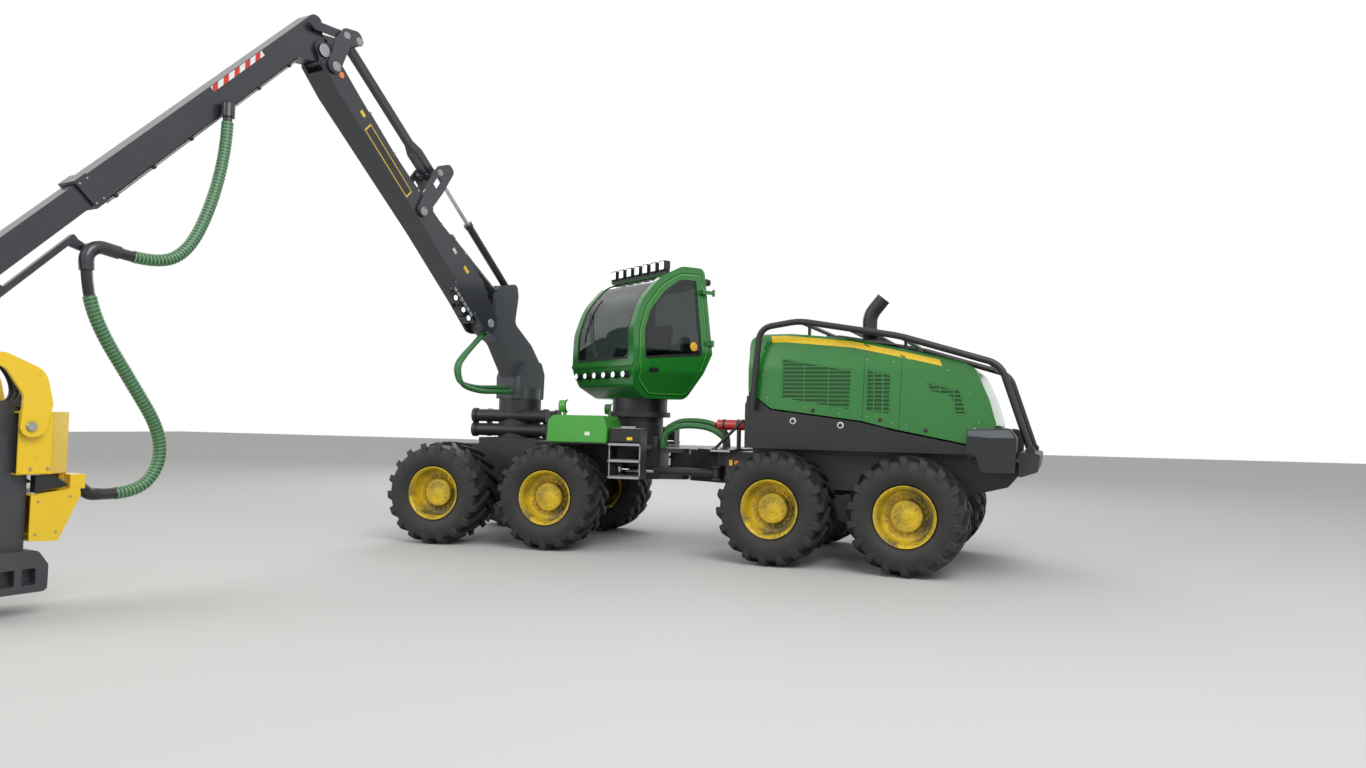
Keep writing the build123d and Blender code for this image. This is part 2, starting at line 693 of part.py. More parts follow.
def side_cut(rows, gap, y0, y1):
    return Pos(0, y1, 0) * extrude(Plane.XZ * shrunk(rows, gap), amount=y1 - y0)


def front_cut(rows, gap, x0, x1):
    return Pos(x0, 0, 0) * extrude(Plane.YZ * shrunk(rows, gap), amount=x1 - x0)


cab_outer = cab_form(0)
cab_walls = cab_outer - cab_form(cab_wall)
glass_skin = cab_form(14) - cab_form(14 + glass_thickness)

cab_shell = cab_walls - side_cut(door_rows, 0, 300, 900)
cab_shell -= side_cut(side_window_rows, 0, -900, -300)
cab_shell -= front_cut(windscreen_rows, 0, 60, 900)
cab_shell -= front_cut(rear_window_rows, 0, -900, -300)
cab_shell += rod((0, 0, cab_base_top + turn_gap), (0, 0, 1990), 380)
pivot_top = cab_base_top + cab_pivot_height + turn_gap
cab_shell -= rod((0, 0, cab_base_top), (0, 0, pivot_top), cab_pivot_radius + running_gap)
sill = block(600, 668, -770, 770, 2385, 2425)
cab_shell += sill - cab_form(cab_wall)
keep("cab_shell", [cab_shell], cab_place)

door = (cab_walls & side_cut(door_rows, door_gap, 300, 900)) - side_cut(side_window_rows, 0, 300, 900)
door_hinge = (-640, 800)
knuckles = [rod((*door_hinge, z), (*door_hinge, z + 90), 20) for z in (2700, 3400)]
# height, middle of the strap's foot on the door
strap_rows = ((2720, -545), (3420, -475))
straps = [block(-650, x + 25, 786, 800, z, z + 50) for z, x in strap_rows]
straps += [block(x - 25, x + 25, 705, 795, z, z + 50) for z, x in strap_rows]
keep("cab_door", [fused([door, *straps, *knuckles])], cab_place)

panes = [
    glass_skin & side_cut(side_window_rows, 1, -900, -300),
    glass_skin & front_cut(windscreen_rows, 1, 100, 900),
    glass_skin & front_cut(rear_window_rows, 1, -900, -300),
]
keep("cab_glass", panes, cab_place)
keep("cab_door_glass", [glass_skin & side_cut(side_window_rows, 1, 300, 900)], cab_place)

seat = [
    rod((-60, 0, 2015), (-60, 0, 2320), 110),
    Pos(-40, 0, 2370) * fillet(Box(500, 500, 110).edges(), 40),
    Pos(-290, 0, 2700) * Rot(0, -10, 0) * fillet(Box(110, 480, 640).edges(), 40),
]
arms = []
for y in (-310, 310):
    arms.append(block(-180, 230, y - 45, y + 45, 2540, 2600))
    arms.append(rod((180, y, 2590), (180, y, 2700), 22))
    arms.append(block(-180, -120, y - 30, y + 30, 2360, 2550))
    arms.append(block(-180, -110, min(y, 0), max(y, 0), 2350, 2400))
dash = fused([
    rod((220, 0, 2015), (220, 0, 2180), 40), rod((220, 0, 2165), (350, 0, 2520), 34),
    Pos(360, 0, 2560) * Rot(0, -30, 0) * Box(40, 260, 190),
])
keep("cab_interior", [fused([*seat, *arms]), dash], cab_place)

roof_bar = [block(40, 80, -700, 700, 3640, 3720)]
for k in range(7):
    y = -600 + 200 * k
    roof_bar.append(block(10, 110, y - 62, y + 62, 3700, 3830))
lamps = [fused(roof_bar) - cab_outer]
for k in range(6):
    y = -600 + 240 * k
    lamps.append(rod((560, y, 2270), (690, y, 2270), 48) - cab_outer)
keep("cab_lamps", lamps, cab_place)


# Crane pillar

def pillar():
    """The turning column, with a head of two cheeks that carry the boom and both cylinders."""
    foot_z = boom_pin[1] - 1000 + turn_gap
    column = [
        (-270, foot_z, 20), (280, foot_z, 20), (300, 2250, 80), (620, 2700, 160), (960, 2850, 90), (965, 3040, 80),
        (760, 3080, 60), (740, 3430, 60), (660, 3490, 70), (300, 3565, 80), (265, 3380, 80), (330, 3000, 120), (-60, 2720, 120), (-290, 2450, 120),
    ]
    body = side_slab(column, -128, 128)
    body -= block(-400, 1200, -72, 72, 3060, 3700)
    skirt_rows = [(-270, foot_z, 10), (280, foot_z, 10), (285, 2250, 40), (180, 2480, 60), (-200, 2480, 60), (-285, 2300, 60)]
    pieces = [body, side_slab(skirt_rows, -210, 210), rod((0, 0, foot_z), (0, 0, foot_z + 150), 285)]
    pieces.append(cross_rod(*boom_pin, pin_radius, -168, 168))
    for pin in (lift_pin, jib_cylinder_pin):
        pieces.append(cross_rod(*pin, 30, -128, 128))
    pivot = rod((0, 0, foot_z - 10), (0, 0, foot_z + slew_pivot_height), slew_pivot_radius + running_gap)
    return fused(pieces) - pivot


pillar_solid = pillar()
keep("crane_pillar", [pillar_solid], crane_place)

hose_bundle = []
for y, out in ((55, 0), (-45, 60)):
    hose_bundle.append(bent_tube([
        (275, y, 2040 + out), (900, y, 2010 + out), (1330 - out, y, 2080 + out), (1400 - out, y, 2330),
        (1130 - out, y, 2600), (840, y, 2850 - out),
    ], [500, 180, 150, 300], 32) - pillar_solid)
keep("crane_hoses", hose_bundle, crane_place)


# Main boom, in its own axes

boom_end = boom_length + 110
# along, up, corner radius
boom_rows = [
    (-150, -60, 110), (0, -165, 120), (520, -135, 300), (1600, -115, 900), (boom_length - 920, -140, 600),
    (boom_length - 440, -150, 300), (boom_length - 40, -115, 60), (boom_end, -60, 80), (boom_end, 70, 80),
    (boom_length - 40, 110, 80), (boom_length - 620, 90, 600), (2500, 80, 500), (1500, 150, 300),
    (1000, 240, 300), (520, 275, 200), (300, 200, 150), (-60, 140, 110),
]


def main_boom():
    body = side_slab(boom_rows, -boom_half_width, boom_half_width)
    body -= block(-300, 620, -138, 138, -400, 400)
    body -= block(600, 1540, -92, 92, 90, 400)
    body -= block(1500, 1990, -43, 43, 50, 400)
    body -= block(boom_length - 160, boom_end + 100, -118, 118, -300, 300)
    for side in (-1, 1):
        y0, y1 = sorted((side * 150, side * 200))
        body -= block(boom_length - 70, boom_end + 100, y0, y1, -300, 300)
    lugs = side_slab([(1620, 140, 10), (1560, 120, 10), (1700, 275, 60), (1820, 275, 60), (1990, 100, 10), (1900, 80, 10)], 44, 74)
    pieces = [body, *both_sides(lugs)]
    pieces.append(cross_rod(*rocker_pin, pin_radius, -214, 214))
    pieces.append(cross_rod(*lever_pin, pin_radius, -214, 214))
    pieces.append(cross_rod(boom_length, 0, pin_radius, -149, 149))
    solid = fused(pieces)
    solid -= cross_rod(0, 0, pin_radius + running_gap, -300, 300)
    solid -= cross_rod(*lift_eye, 31, -100, 100)
    bracket = [
        block(300, 860, boom_half_width - 5, boom_half_width + 7, -340, -110),
        block(300, 860, boom_half_width - 5, boom_half_width + 110, -346, -334),
    ]
    for u in (420, 560, 760):
        bracket.append(block(u - 55, u + 55, boom_half_width + 10, boom_half_width + 100, -430, -342))
    return fused([solid, *bracket])


keep("main_boom", [main_boom()], boom_place)


# Rocker, bar, lever and link of the knee

def rocker():
    """Two plates astride the boom, tied above it, with split bosses for the cylinder and the forked bar."""
    rows = [
        (1755, -70, 60), (1905, -90, 60), (2070, 430, 60), (2085, 600, 60), (1990, 790, 80), (1870, 780, 60), (1800, 420, 60),
    ]
    plate = side_slab(rows, 178, 204)
    plate -= side_slab([(1890, 360, 12), (1980, 360, 12), (2000, 500, 12), (1910, 500, 12)], 150, 230)
    plate -= cross_rod(*rocker_pin, pin_radius + running_gap, 150, 230)
    boss = cross_rod(*rocker_top, 62, 46, 180) - cross_rod(*rocker_top, 31, 40, 60)
    bar_boss = cross_rod(*bar_pin, 50, fork_half + 5, 180) + cross_rod(*bar_pin, 30, fork_slot_half + 2, 180)
    pieces = [*both_sides(plate), *both_sides(boss), *both_sides(bar_boss)]
    pieces.append(cross_rod(*rocker_tie, 30, -180, 180))
    return fused(pieces)


def knee_bar():
    """A bar that pulls the lever, forked at the rocker so that the jib cylinder's rod passes through it."""
    length, slope = math.dist(bar_pin, lever_top), math.degrees(math.atan2(lever_top[1] - bar_pin[1], lever_top[0] - bar_pin[0]))
    plan = [
        (-60, fork_half, 8), (fork_depth - 20, fork_half, 50), (fork_depth + 110, 38, 80), (length + 60, 38, 8),
        (length + 60, -38, 8), (fork_depth + 110, -38, 80), (fork_depth - 20, -fork_half, 50), (-60, -fork_half, 8),
    ]
    solid = top_slab(plan, -44, 44) & hull_plate([(0, 0), (length, 0)], 44, -100, 100)
    solid = fused([solid, cross_rod(0, 0, 56, -fork_half, fork_half), cross_rod(length, 0, 56, -42, 42)])
    slot = [(-90, -fork_slot_half, 0), (fork_depth, -fork_slot_half, 44), (fork_depth, fork_slot_half, 44), (-90, fork_slot_half, 0)]
    solid -= top_slab(slot, -90, 90)
    for x in (0, length):
        solid -= cross_rod(x, 0, 30 + running_gap, -200, 200)
    return Pos(bar_pin[0], 0, bar_pin[1]) * swing(slope) * solid


keep("rocker", [rocker()], boom_place)
keep("knee_bar", [knee_bar()], boom_place)


def knee_lever():
    """A pair of boomerang plates outside the boom, with inward bosses on both sides of the bar."""
    foot, top = lever_pin[0], lever_top[0]
    rows = [
        (foot - 89, -70, 70), (foot + 71, -110, 80), (foot + 141, 60, 60), (top + 185, 200, 60), (top + 210, 400, 70),
        (top + 85, 560, 70), (top - 75, 540, 60), (top + 25, 330, 60),
    ]
    plate = side_slab(rows, 178, 204) - cross_rod(*lever_pin, pin_radius + running_gap, 150, 230)
    boss = cross_rod(*lever_top, 46, 46, 182) - cross_rod(*lever_top, 31, 40, 60)
    return both_sides(plate + boss)


def knee_link():
    """A pair of short links from the lever to the jib."""
    plate = hull_plate([link_pin, jib_link_pin], 48, 152, 172)
    plate -= cross_rod(*jib_link_pin, 34 + running_gap, 100, 200)
    plate -= cross_rod(*link_pin, 31, 100, 200)
    return both_sides(plate)


keep("knee_lever", knee_lever(), boom_place)
keep("knee_link", knee_link(), boom_place)


# Lift and jib cylinders

def cylinder_pair(base, eye, barrel_length, barrel_radius, rod_radius, eye_radius, half):
    """Barrel and rod between two pins of the crane's plane, with the angle and the reach between them."""
    reach, angle = math.dist(base, eye), math.degrees(math.atan2(eye[1] - base[1], eye[0] - base[0]))
    barrel = fused([cross_rod(0, 0, eye_radius, -half, half), rod((30, 0, 0), (barrel_length, 0, 0), barrel_radius), rod((barrel_length - 50, 0, 0), (barrel_length, 0, 0), barrel_radius + 9)])
    barrel -= cross_rod(0, 0, 30 + running_gap, -100, 100)
    barrel -= rod((barrel_radius + 40, 0, 0), (barrel_length + 10, 0, 0), rod_radius + running_gap)
    start = barrel_radius + 60
    piston = fused([rod((max(start, barrel_length * 0.45), 0, 0), (reach - 25, 0, 0), rod_radius), cross_rod(reach, 0, eye_radius, -half + 30, half - 30)])
    piston -= cross_rod(reach, 0, 30.6, -100, 100)
    place = crane_place * Pos(base[0], 0, base[1]) * swing(angle)
    return barrel, piston, place, angle, reach


lift_eye_out = boom_to_crane(lift_eye)
rocker_top_out = boom_to_crane(rocker_top)
lift_barrel, lift_rod, lift_place, lift_angle, lift_reach = cylinder_pair(lift_pin, lift_eye_out, 1080, 62, 40, 58, 68)
keep("lift_barrel", [lift_barrel], lift_place)
keep("lift_rod", [lift_rod], lift_place)
jib_barrel, jib_rod, jib_cylinder_place, jib_cylinder_angle, jib_reach = cylinder_pair(jib_cylinder_pin, rocker_top_out, 1150, 52, 32, 52, 68)
keep("jib_barrel", [jib_barrel], jib_cylinder_place)
keep("jib_rod", [jib_rod], jib_cylinder_place)


# Jib and its extension, in the jib's axes

link_on_jib = plane_turn((jib_link_pin[0] - boom_length, jib_link_pin[1]), boom_angle - jib_angle)
jib_rows = [
    (-105, 0, 100), (0, -105, 100), (150, -40, 80), (330, jib_low, 80), (jib_length, jib_low, 0), (jib_length, jib_high, 0),
    (-200, jib_high, 90), (-250, jib_high - 100, 70), (-160, 150, 80),
]


def jib():
    body = side_slab(jib_rows, -jib_half_width, jib_half_width)
    body += block(jib_length - 130, jib_length, -jib_half_width - 14, jib_half_width + 14, jib_low - 14, jib_high + 14)
    body += cross_rod(*link_on_jib, 34, -173, 173)
    body += cross_rod(0, 0, 90, -113, 113)
    body -= block(200, jib_length + 10, -jib_half_width + jib_wall, jib_half_width - jib_wall, jib_low + jib_wall, jib_high - jib_wall)
    body -= cross_rod(0, 0, pin_radius + running_gap, -200, 200)
    (r0, z0), (r1, z1) = hose_upper_route[:2]
    run = math.dist((r0, z0), (r1, z1))
    far = (r0 - (r1 - r0) * 130 / run, z0 - (z1 - z0) * 130 / run)
    start, end = crane_to_jib((r0, z0 + 0.5)), crane_to_jib(far)
    sleeve = rod((start[0], hose_side, start[1]), (end[0], hose_side, end[1]), hose_diameter / 2 + 8)
    holder = block(end[0] - 45, end[0] + 45, jib_half_width - 2, hose_side, end[1] - 35, end[1] + 25)
    return fused([body, sleeve, holder])


def extension():
    gap = jib_wall + slide_gap
    half = jib_half_width - gap
    body = block(420, 4180, -half, half, jib_low + gap, jib_high - gap)
    body -= block(410, 4100, -half + 10, half - 10, jib_low + gap + 10, jib_high - gap - 10)
    ears = hull_plate([(4130, tip_up), (tip_along, tip_up)], 78, 60, half)
    pieces = [body, *both_sides(ears), cross_rod(tip_along, tip_up, 34, -half, half)]
    rail = side_slab([(3420, -35, 10), (4240, -35, 10), (4240, 150, 10), (4170, 150, 10), (4150, 15, 10), (3420, 15, 10)], -28, 28)
    bend = [hose_upper_route[-1], (6105.4, 3057.2), hose_lower_route[0]]
    bend[0], bend[2] = (bend[0][0] + 0.5, bend[0][1] + 0.07), (bend[2][0] + 0.04, bend[2][1] + 0.5)
    turn = [(u, hose_side, v) for u, v in map(crane_to_jib, bend)]
    elbow = bent_tube(turn, [125], hose_diameter / 2 + 3)
    arm_start, arm_end = crane_to_jib((6040, 3048)), crane_to_jib((6045, 3040))
    arm = rod((arm_start[0], 0, arm_start[1]), (arm_end[0], hose_side, arm_end[1]), 24)
    tail = side_slab([(3420, -30, 10), (3520, -30, 10), (3455, -150, 20), (3385, -150, 20)], -14, 14)
    return fused([*pieces, rail, tail, elbow, arm])


keep("jib", [jib()], jib_place)
keep("jib_extension", [extension()], jib_place)


# Tip link with the rotator, and the hanger of the head

def tip_link():
    pieces = [cross_rod(0, 0, 64, -55, 55), block(-36, 36, -55, 55, -tip_link_length + 60, 0)]
    pieces.append(rod((-85, 0, -tip_link_length + 90), (85, 0, -tip_link_length + 90), 52))
    pieces.append(block(-85, 85, -70, 70, -tip_link_length - 10, -tip_link_length + 60))
    pieces.append(rod((0, 0, -tip_link_length - rotator_height), (0, 0, -tip_link_length), rotator_radius))
    return fused(pieces) - cross_rod(0, 0, 34 + running_gap, -100, 100)


keep("tip_link", [tip_link()], tip_place)

hanger_top = tip_pin[1] - tip_link_length - rotator_height - 3


def head_hanger():
    """A fork under the rotator whose arched legs reach back and down to the tilt pins."""
    x, z = tilt_pin
    leg = [
        (x - 95, z - 80, 90), (x - 150, z + 180, 80), (x - 90, hanger_top - 150, 160), (-160, hanger_top - 20, 120),
        (120, hanger_top - 20, 30), (110, hanger_top - 110, 30), (-150, hanger_top - 120, 120), (x + 60, z + 240, 120), (x + 85, z - 80, 80),
    ]
    plate = side_slab(leg, tilt_side, tilt_side + 34)
    plate -= cross_rod(x, z, 35 + running_gap, 200, 500)
    beam = block(-100, 100, -tilt_side - 10, tilt_side + 10, hanger_top - 100, hanger_top - 40)
    return fused([rod((0, 0, hanger_top - 60), (0, 0, hanger_top), 150), beam, *both_sides(plate)])


keep("head_hanger", [head_hanger()], head_place)


# Felling head

def head_frame():
    """The spine of the head with its slotted saw box and the tabs that hold arms and knives."""
    low, box_top = head_bottom, head_bottom + 330
    spine = side_slab([
        (-420, box_top - 40, 10), (60, box_top - 40, 10), (110, 800, 60), (110, 1500, 60), (40, head_top, 60),
        (-260, head_top, 80), (-410, 1560, 100), (-420, 1000, 80),
    ], -230, 230)
    saw_box = side_slab([(-560, low, 40), (100, low, 20), (100, box_top, 10), (-480, box_top, 60), (-560, box_top - 120, 30)], -330, 330)
    saw_box -= block(15, 200, saw_pin[1] - 40, 400, saw_height - 25, saw_height + 25)
    for k in range(3):
        x = -470 + 150 * k
        saw_box -= side_slab([(x, low + 60, 12), (x + 100, low + 60, 12), (x + 100, low + 190, 12), (x, low + 190, 12)], -400, -250)
        saw_box -= side_slab([(x, low + 60, 12), (x + 100, low + 60, 12), (x + 100, low + 190, 12), (x, low + 190, 12)], 250, 400)
    for side in (-1, 1):
        spine -= block(40, 200, *sorted((side * 208, side * 300)), 702, 1238)
    pieces = [spine, saw_box]
    for z0, z1 in ((640, 700), (1240, 1300), (1370, 1430), (1560, 1620)):
        pieces += both_sides(block(-60, 60, 220, arm_pin_side + 50, z0, z1))
    for z0, z1 in ((650, 1290), (1380, 1610)):
        pieces += both_sides(rod((0, arm_pin_side, z0), (0, arm_pin_side, z1), 28))
    pieces.append(cross_rod(*tilt_pin, 35, -tilt_side - 42, tilt_side + 42))
    pieces.append(rod((*saw_pin, low + 20), (*saw_pin, low + 120), 24))
    return fused(pieces)


keep("head_frame", [head_frame()], head_place)


def head_covers():
    """Yellow side and back covers, the lower back cover, and the lug that takes the hose."""
    wrap = [(-300, 322, 10), (-545, 322, 20), (-760, 140, 30), (-760, -140, 30), (-545, -322, 20), (-300, -322, 10)]
    hollow = top_slab([(-290, 308, 0), (-540, 308, 10), (-745, 134, 20), (-745, -134, 20), (-540, -308, 10), (-290, -308, 0)], 1135, 1605)
    upper = top_slab(wrap, 1120, 1620) - hollow
    upper -= block(-425, 200, -235, 235, 1000, 1700)
    upper -= cross_rod(*tilt_pin, 35 + running_gap, -400, 400)
    upper += block(-760, -700, -140, 140, 1000, 1125)
    lower = side_slab([(-426, 960, 10), (-790, 1000, 20), (-800, 940, 20), (-640, 575, 30), (-426, 590, 10)], -290, 290)
    lower -= side_slab([(-400, 946, 0), (-774, 984, 0), (-782, 940, 0), (-632, 589, 0), (-400, 604, 0)], -278, 278)
    lug = block(-860, -740, 40, 235, 985, 1105)
    return fused([upper, lower, lug])


covers = head_covers()
keep("head_covers", [covers], head_place)

fitting_start = (hose_lower_route[-1][0] - tip_pin[0] + 0.5, hose_side, hose_lower_route[-1][1] + 0.03)
fitting_turn = (fitting_start[0] + 75, hose_side, fitting_start[2] + 4)
fitting = bent_tube([fitting_start, fitting_turn, (-790, hose_side, 1045)], [95], hose_diameter / 2 - 4)
keep("head_hose_fitting", [fitting - covers], head_place)


def feed_arm():
    """Two plates from the arm's pin to the roller's shaft, and a rib behind the roller."""
    plates = []
    for z in (706, 1204):
        face = make_hull([e for x, y, r in ((0, arm_pin_side, 58), (*roller_axis, 60)) for e in (Pos(x, y) * Circle(r)).edges()])
        plates.append(Pos(0, 0, z) * extrude(face, amount=30))
    hub = rod((0, arm_pin_side, 706), (0, arm_pin_side, 1234), 46)
    motor = rod((*roller_axis, 1200), (*roller_axis, 1330), 92)
    shaft = rod((*roller_axis, 715), (*roller_axis, 1215), 30)
    return fused([*plates, hub, motor, shaft]) - rod((0, arm_pin_side, 600), (0, arm_pin_side, 1300), 28 + running_gap)


def feed_roller():
    """A toothed steel roller."""
    low = (736 + 1204 - roller_height) / 2
    body = rod((*roller_axis, low), (*roller_axis, low + roller_height), roller_radius - 20)
    place = Pos(roller_axis[0], roller_axis[1], low + 20)
    ribs = [place * Rot(0, 0, 30 * k) * Pos(roller_radius - 15, 0, (roller_height - 40) / 2) * Box(30, 34, roller_height - 40) for k in range(12)]
    return fused([body, *ribs]) - rod((*roller_axis, low - 10), (*roller_axis, low + roller_height + 10), 30 + running_gap)


def knife(z):
    """A curved delimbing knife at its own height."""
    rows = [
        (-55, 275, 50), (-55, 385, 50), (60, 400, 60), (330, 360, 200), (520, 220, 120), (590, 40, 8), (530, 90, 60),
        (440, 210, 120), (270, 285, 120), (90, 300, 40), (50, 275, 30),
    ]
    blade = top_slab(rows, z, z + 40)
    hub = rod((0, arm_pin_side, 1436), (0, arm_pin_side, 1554), 50)
    return fused([blade, hub]) - rod((0, arm_pin_side, 1300), (0, arm_pin_side, 1700), 28 + running_gap)


for name, side, knife_z in (("left", 1, 1448), ("right", -1, 1502)):
    for kind, solid in (("feed_arm", feed_arm()), ("feed_roller", feed_roller()), ("knife", knife(knife_z))):
        keep(f"{kind}_{name}", [solid if side > 0 else mirror(solid, about=Plane.XZ)], head_place)

bar_face = make_hull([e for y, r in ((saw_pin[1], 36), (saw_pin[1] + 540, 30)) for e in (Pos(saw_pin[0], y) * Circle(r)).edges()])
saw = Pos(0, 0, saw_height - 10) * extrude(bar_face, amount=20)
keep("saw_bar", [saw - rod((*saw_pin, 0), (*saw_pin, 600), 24 + running_gap)], head_place)


# Free hoses between jib, tip and head

def cord(name, points, diameter):
    """A hose of straight runs and arcs, each arc as large as its two runs allow."""
    points = [(r, hose_side, z) for r, z in points]
    vectors = [Vector(*p) for p in points]
    runs = [(b - a).length for a, b in zip(vectors, vectors[1:])]
    radii = []
    for i in range(1, len(points) - 1):
        turn = (vectors[i] - vectors[i - 1]).get_angle(vectors[i + 1] - vectors[i])
        radii.append(0.45 * min(runs[i - 1], runs[i]) / math.tan(math.radians(turn / 2)))
    path = FilletPolyline(*points, radius=radii)
    tube = sweep(Plane(origin=path @ 0, z_dir=path % 0) * Circle(diameter / 2), path=path)
    expected = math.pi * diameter ** 2 / 4 * path.length
    print(name, "length", round(path.length), "radii", [round(r) for r in radii], "volume ratio", round(tube.volume / expected, 4))
    cords[name] = crane_place * tube
    return path.length


cord_lengths = {
    "hose_upper": cord("hose_upper", hose_upper_route, hose_diameter),
    "hose_lower": cord("hose_lower", hose_lower_route, hose_diameter),
}

# The origin goes to the middle of the floor under the machine, hoses left out
boxes = [solid.bounding_box() for solid in nodes.values()]
low_x, high_x = min(b.min.X for b in boxes), max(b.max.X for b in boxes)
low_y, high_y = min(b.min.Y for b in boxes), max(b.max.Y for b in boxes)
low_z = min(b.min.Z for b in boxes)
origin_move = Pos(-(low_x + high_x) / 2, -(low_y + high_y) / 2, -low_z)

if __name__ == "__main__":
    os.makedirs("parts", exist_ok=True)
    for name, solid in {**nodes, **cords}.items():
        export_step(origin_move * solid, f"parts/{name}.step")
    print("nodes", len(nodes) + len(cords))
    print("box", round(low_x), round(high_x), round(low_y), round(high_y), round(low_z), round(max(b.max.Z for b in boxes)))
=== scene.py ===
import math
import bmesh
import bpy
from mathutils import Matrix, Vector


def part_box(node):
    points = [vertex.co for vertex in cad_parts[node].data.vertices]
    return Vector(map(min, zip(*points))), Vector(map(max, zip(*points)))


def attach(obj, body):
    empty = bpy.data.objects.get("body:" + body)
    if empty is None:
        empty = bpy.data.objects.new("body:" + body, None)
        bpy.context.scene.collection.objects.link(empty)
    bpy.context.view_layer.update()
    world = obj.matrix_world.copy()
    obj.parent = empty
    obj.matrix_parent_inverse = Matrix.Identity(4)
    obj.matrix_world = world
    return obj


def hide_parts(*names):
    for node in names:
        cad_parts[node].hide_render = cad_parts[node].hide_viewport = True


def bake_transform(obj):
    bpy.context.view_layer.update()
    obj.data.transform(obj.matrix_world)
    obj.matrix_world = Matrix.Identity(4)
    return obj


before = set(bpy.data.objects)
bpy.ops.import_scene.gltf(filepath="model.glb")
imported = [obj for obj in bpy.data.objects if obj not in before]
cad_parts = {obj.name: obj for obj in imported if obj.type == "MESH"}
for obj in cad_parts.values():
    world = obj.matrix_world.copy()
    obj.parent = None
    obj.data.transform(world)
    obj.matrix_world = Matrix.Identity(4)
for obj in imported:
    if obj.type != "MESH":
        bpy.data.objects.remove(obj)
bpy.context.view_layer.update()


# Camera. The photograph was taken from behind the machine's left side at chest height, with a
# fairly wide lens, a little turned and looking slightly up. Places below are measured from the
# middle of the front bogies, at ground level, which is found from the front left wheel.
wheel_low, wheel_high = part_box("wheel_front_left_fore")
ground_middle = (Vector(wheel_low) + Vector(wheel_high)) / 2 - Vector((0.775, 1.1, 0.6665))
machine_place = Matrix.Translation(ground_middle)

photo_yaw, photo_pitch, photo_roll = math.radians(13.2), math.radians(2.57), math.radians(1.26)
look = Vector((
    math.sin(photo_yaw) * math.cos(photo_pitch),
    -math.cos(photo_yaw) * math.cos(photo_pitch),
    math.sin(photo_pitch),
))
level_right = Vector((-math.cos(photo_yaw), -math.sin(photo_yaw), 0))
level_up = level_right.cross(look)
view_right = level_right * math.cos(photo_roll) + level_up * math.sin(photo_roll)
view_up = -level_right * math.sin(photo_roll) + level_up * math.cos(photo_roll)
camera_data = bpy.data.cameras.new("photo_camera")
camera_data.sensor_width = 36
camera_data.lens = 36 * 900 / 1366
camera_data.clip_end = 200
camera = bpy.data.objects.new("photo_camera", camera_data)
bpy.context.scene.collection.objects.link(camera)
turn = Matrix((view_right, view_up, -look)).transposed().to_4x4()
camera.matrix_world = Matrix.Translation(ground_middle + Vector((-5.06, 12.14, 1.63))) @ turn
bpy.context.scene.camera = camera


# Weathered finishes. Paint, steel, plastic and rubber on a forest machine all carry the same
# dust, splashes and fine scratches, heavier near the ground, so one node group makes them and
# each material sets its own amounts.
weathering = bpy.data.node_groups.new("Weathering", "ShaderNodeTree")
for socket, kind in (
    ("Clean", "NodeSocketColor"), ("Dirt", "NodeSocketColor"), ("Amount", "NodeSocketFloat"),
    ("Mud Height", "NodeSocketFloat"), ("Scale", "NodeSocketFloat"), ("Smooth", "NodeSocketFloat"),
):
    weathering.interface.new_socket(socket, in_out="INPUT", socket_type=kind)
for socket, kind in (("Color", "NodeSocketColor"), ("Roughness", "NodeSocketFloat"), ("Height", "NodeSocketFloat")):
    weathering.interface.new_socket(socket, in_out="OUTPUT", socket_type=kind)


def add(tree, kind, where=(0, 0), **settings):
    """A node in a tree, with its attributes and its unlinked sockets set by name."""
    node = tree.nodes.new(kind)
    node.location = where
    for key, value in settings.items():
        if hasattr(node, key):
            setattr(node, key, value)
        else:
            node.inputs[key.replace("_", " ")].default_value = value
    return node


def math_node(tree, operation, first, second=None, clamp=False):
    node = tree.nodes.new("ShaderNodeMath")
    node.operation = operation
    node.use_clamp = clamp
    for slot_number, value in enumerate((first, second)):
        if value is None:
            continue
        if isinstance(value, (int, float)):
            node.inputs[slot_number].default_value = value
        else:
            tree.links.new(value, node.inputs[slot_number])
    return node.outputs[0]


def blend_colour(tree, factor, first, second, mode="MIX"):
    node = tree.nodes.new("ShaderNodeMix")
    node.data_type = "RGBA"
    node.blend_type = mode
    for name, value in (("Factor", factor), ("A", first), ("B", second)):
        socket = [s for s in node.inputs if s.name == name and s.enabled][0]
        if isinstance(value, (int, float)):
            socket.default_value = value
        elif isinstance(value, tuple):
            socket.default_value = (*value, 1) if len(value) == 3 else value
        else:
            tree.links.new(value, socket)
    return [s for s in node.outputs if s.enabled][0]


entry = add(weathering, "NodeGroupInput", (-900, 0))
leave = add(weathering, "NodeGroupOutput", (900, 0))
coordinates = add(weathering, "ShaderNodeTexCoord", (-900, -300))
scaled = add(weathering, "ShaderNodeVectorMath", (-700, -300), operation="SCALE")
weathering.links.new(coordinates.outputs["Object"], scaled.inputs[0])
weathering.links.new(entry.outputs["Scale"], scaled.inputs["Scale"])


def weather_noise(scale, detail, where):
    node = add(weathering, "ShaderNodeTexNoise", where, Scale=scale, Detail=detail, Roughness=0.62)
    weathering.links.new(scaled.outputs[0], node.inputs["Vector"])
    return node.outputs["Fac"]


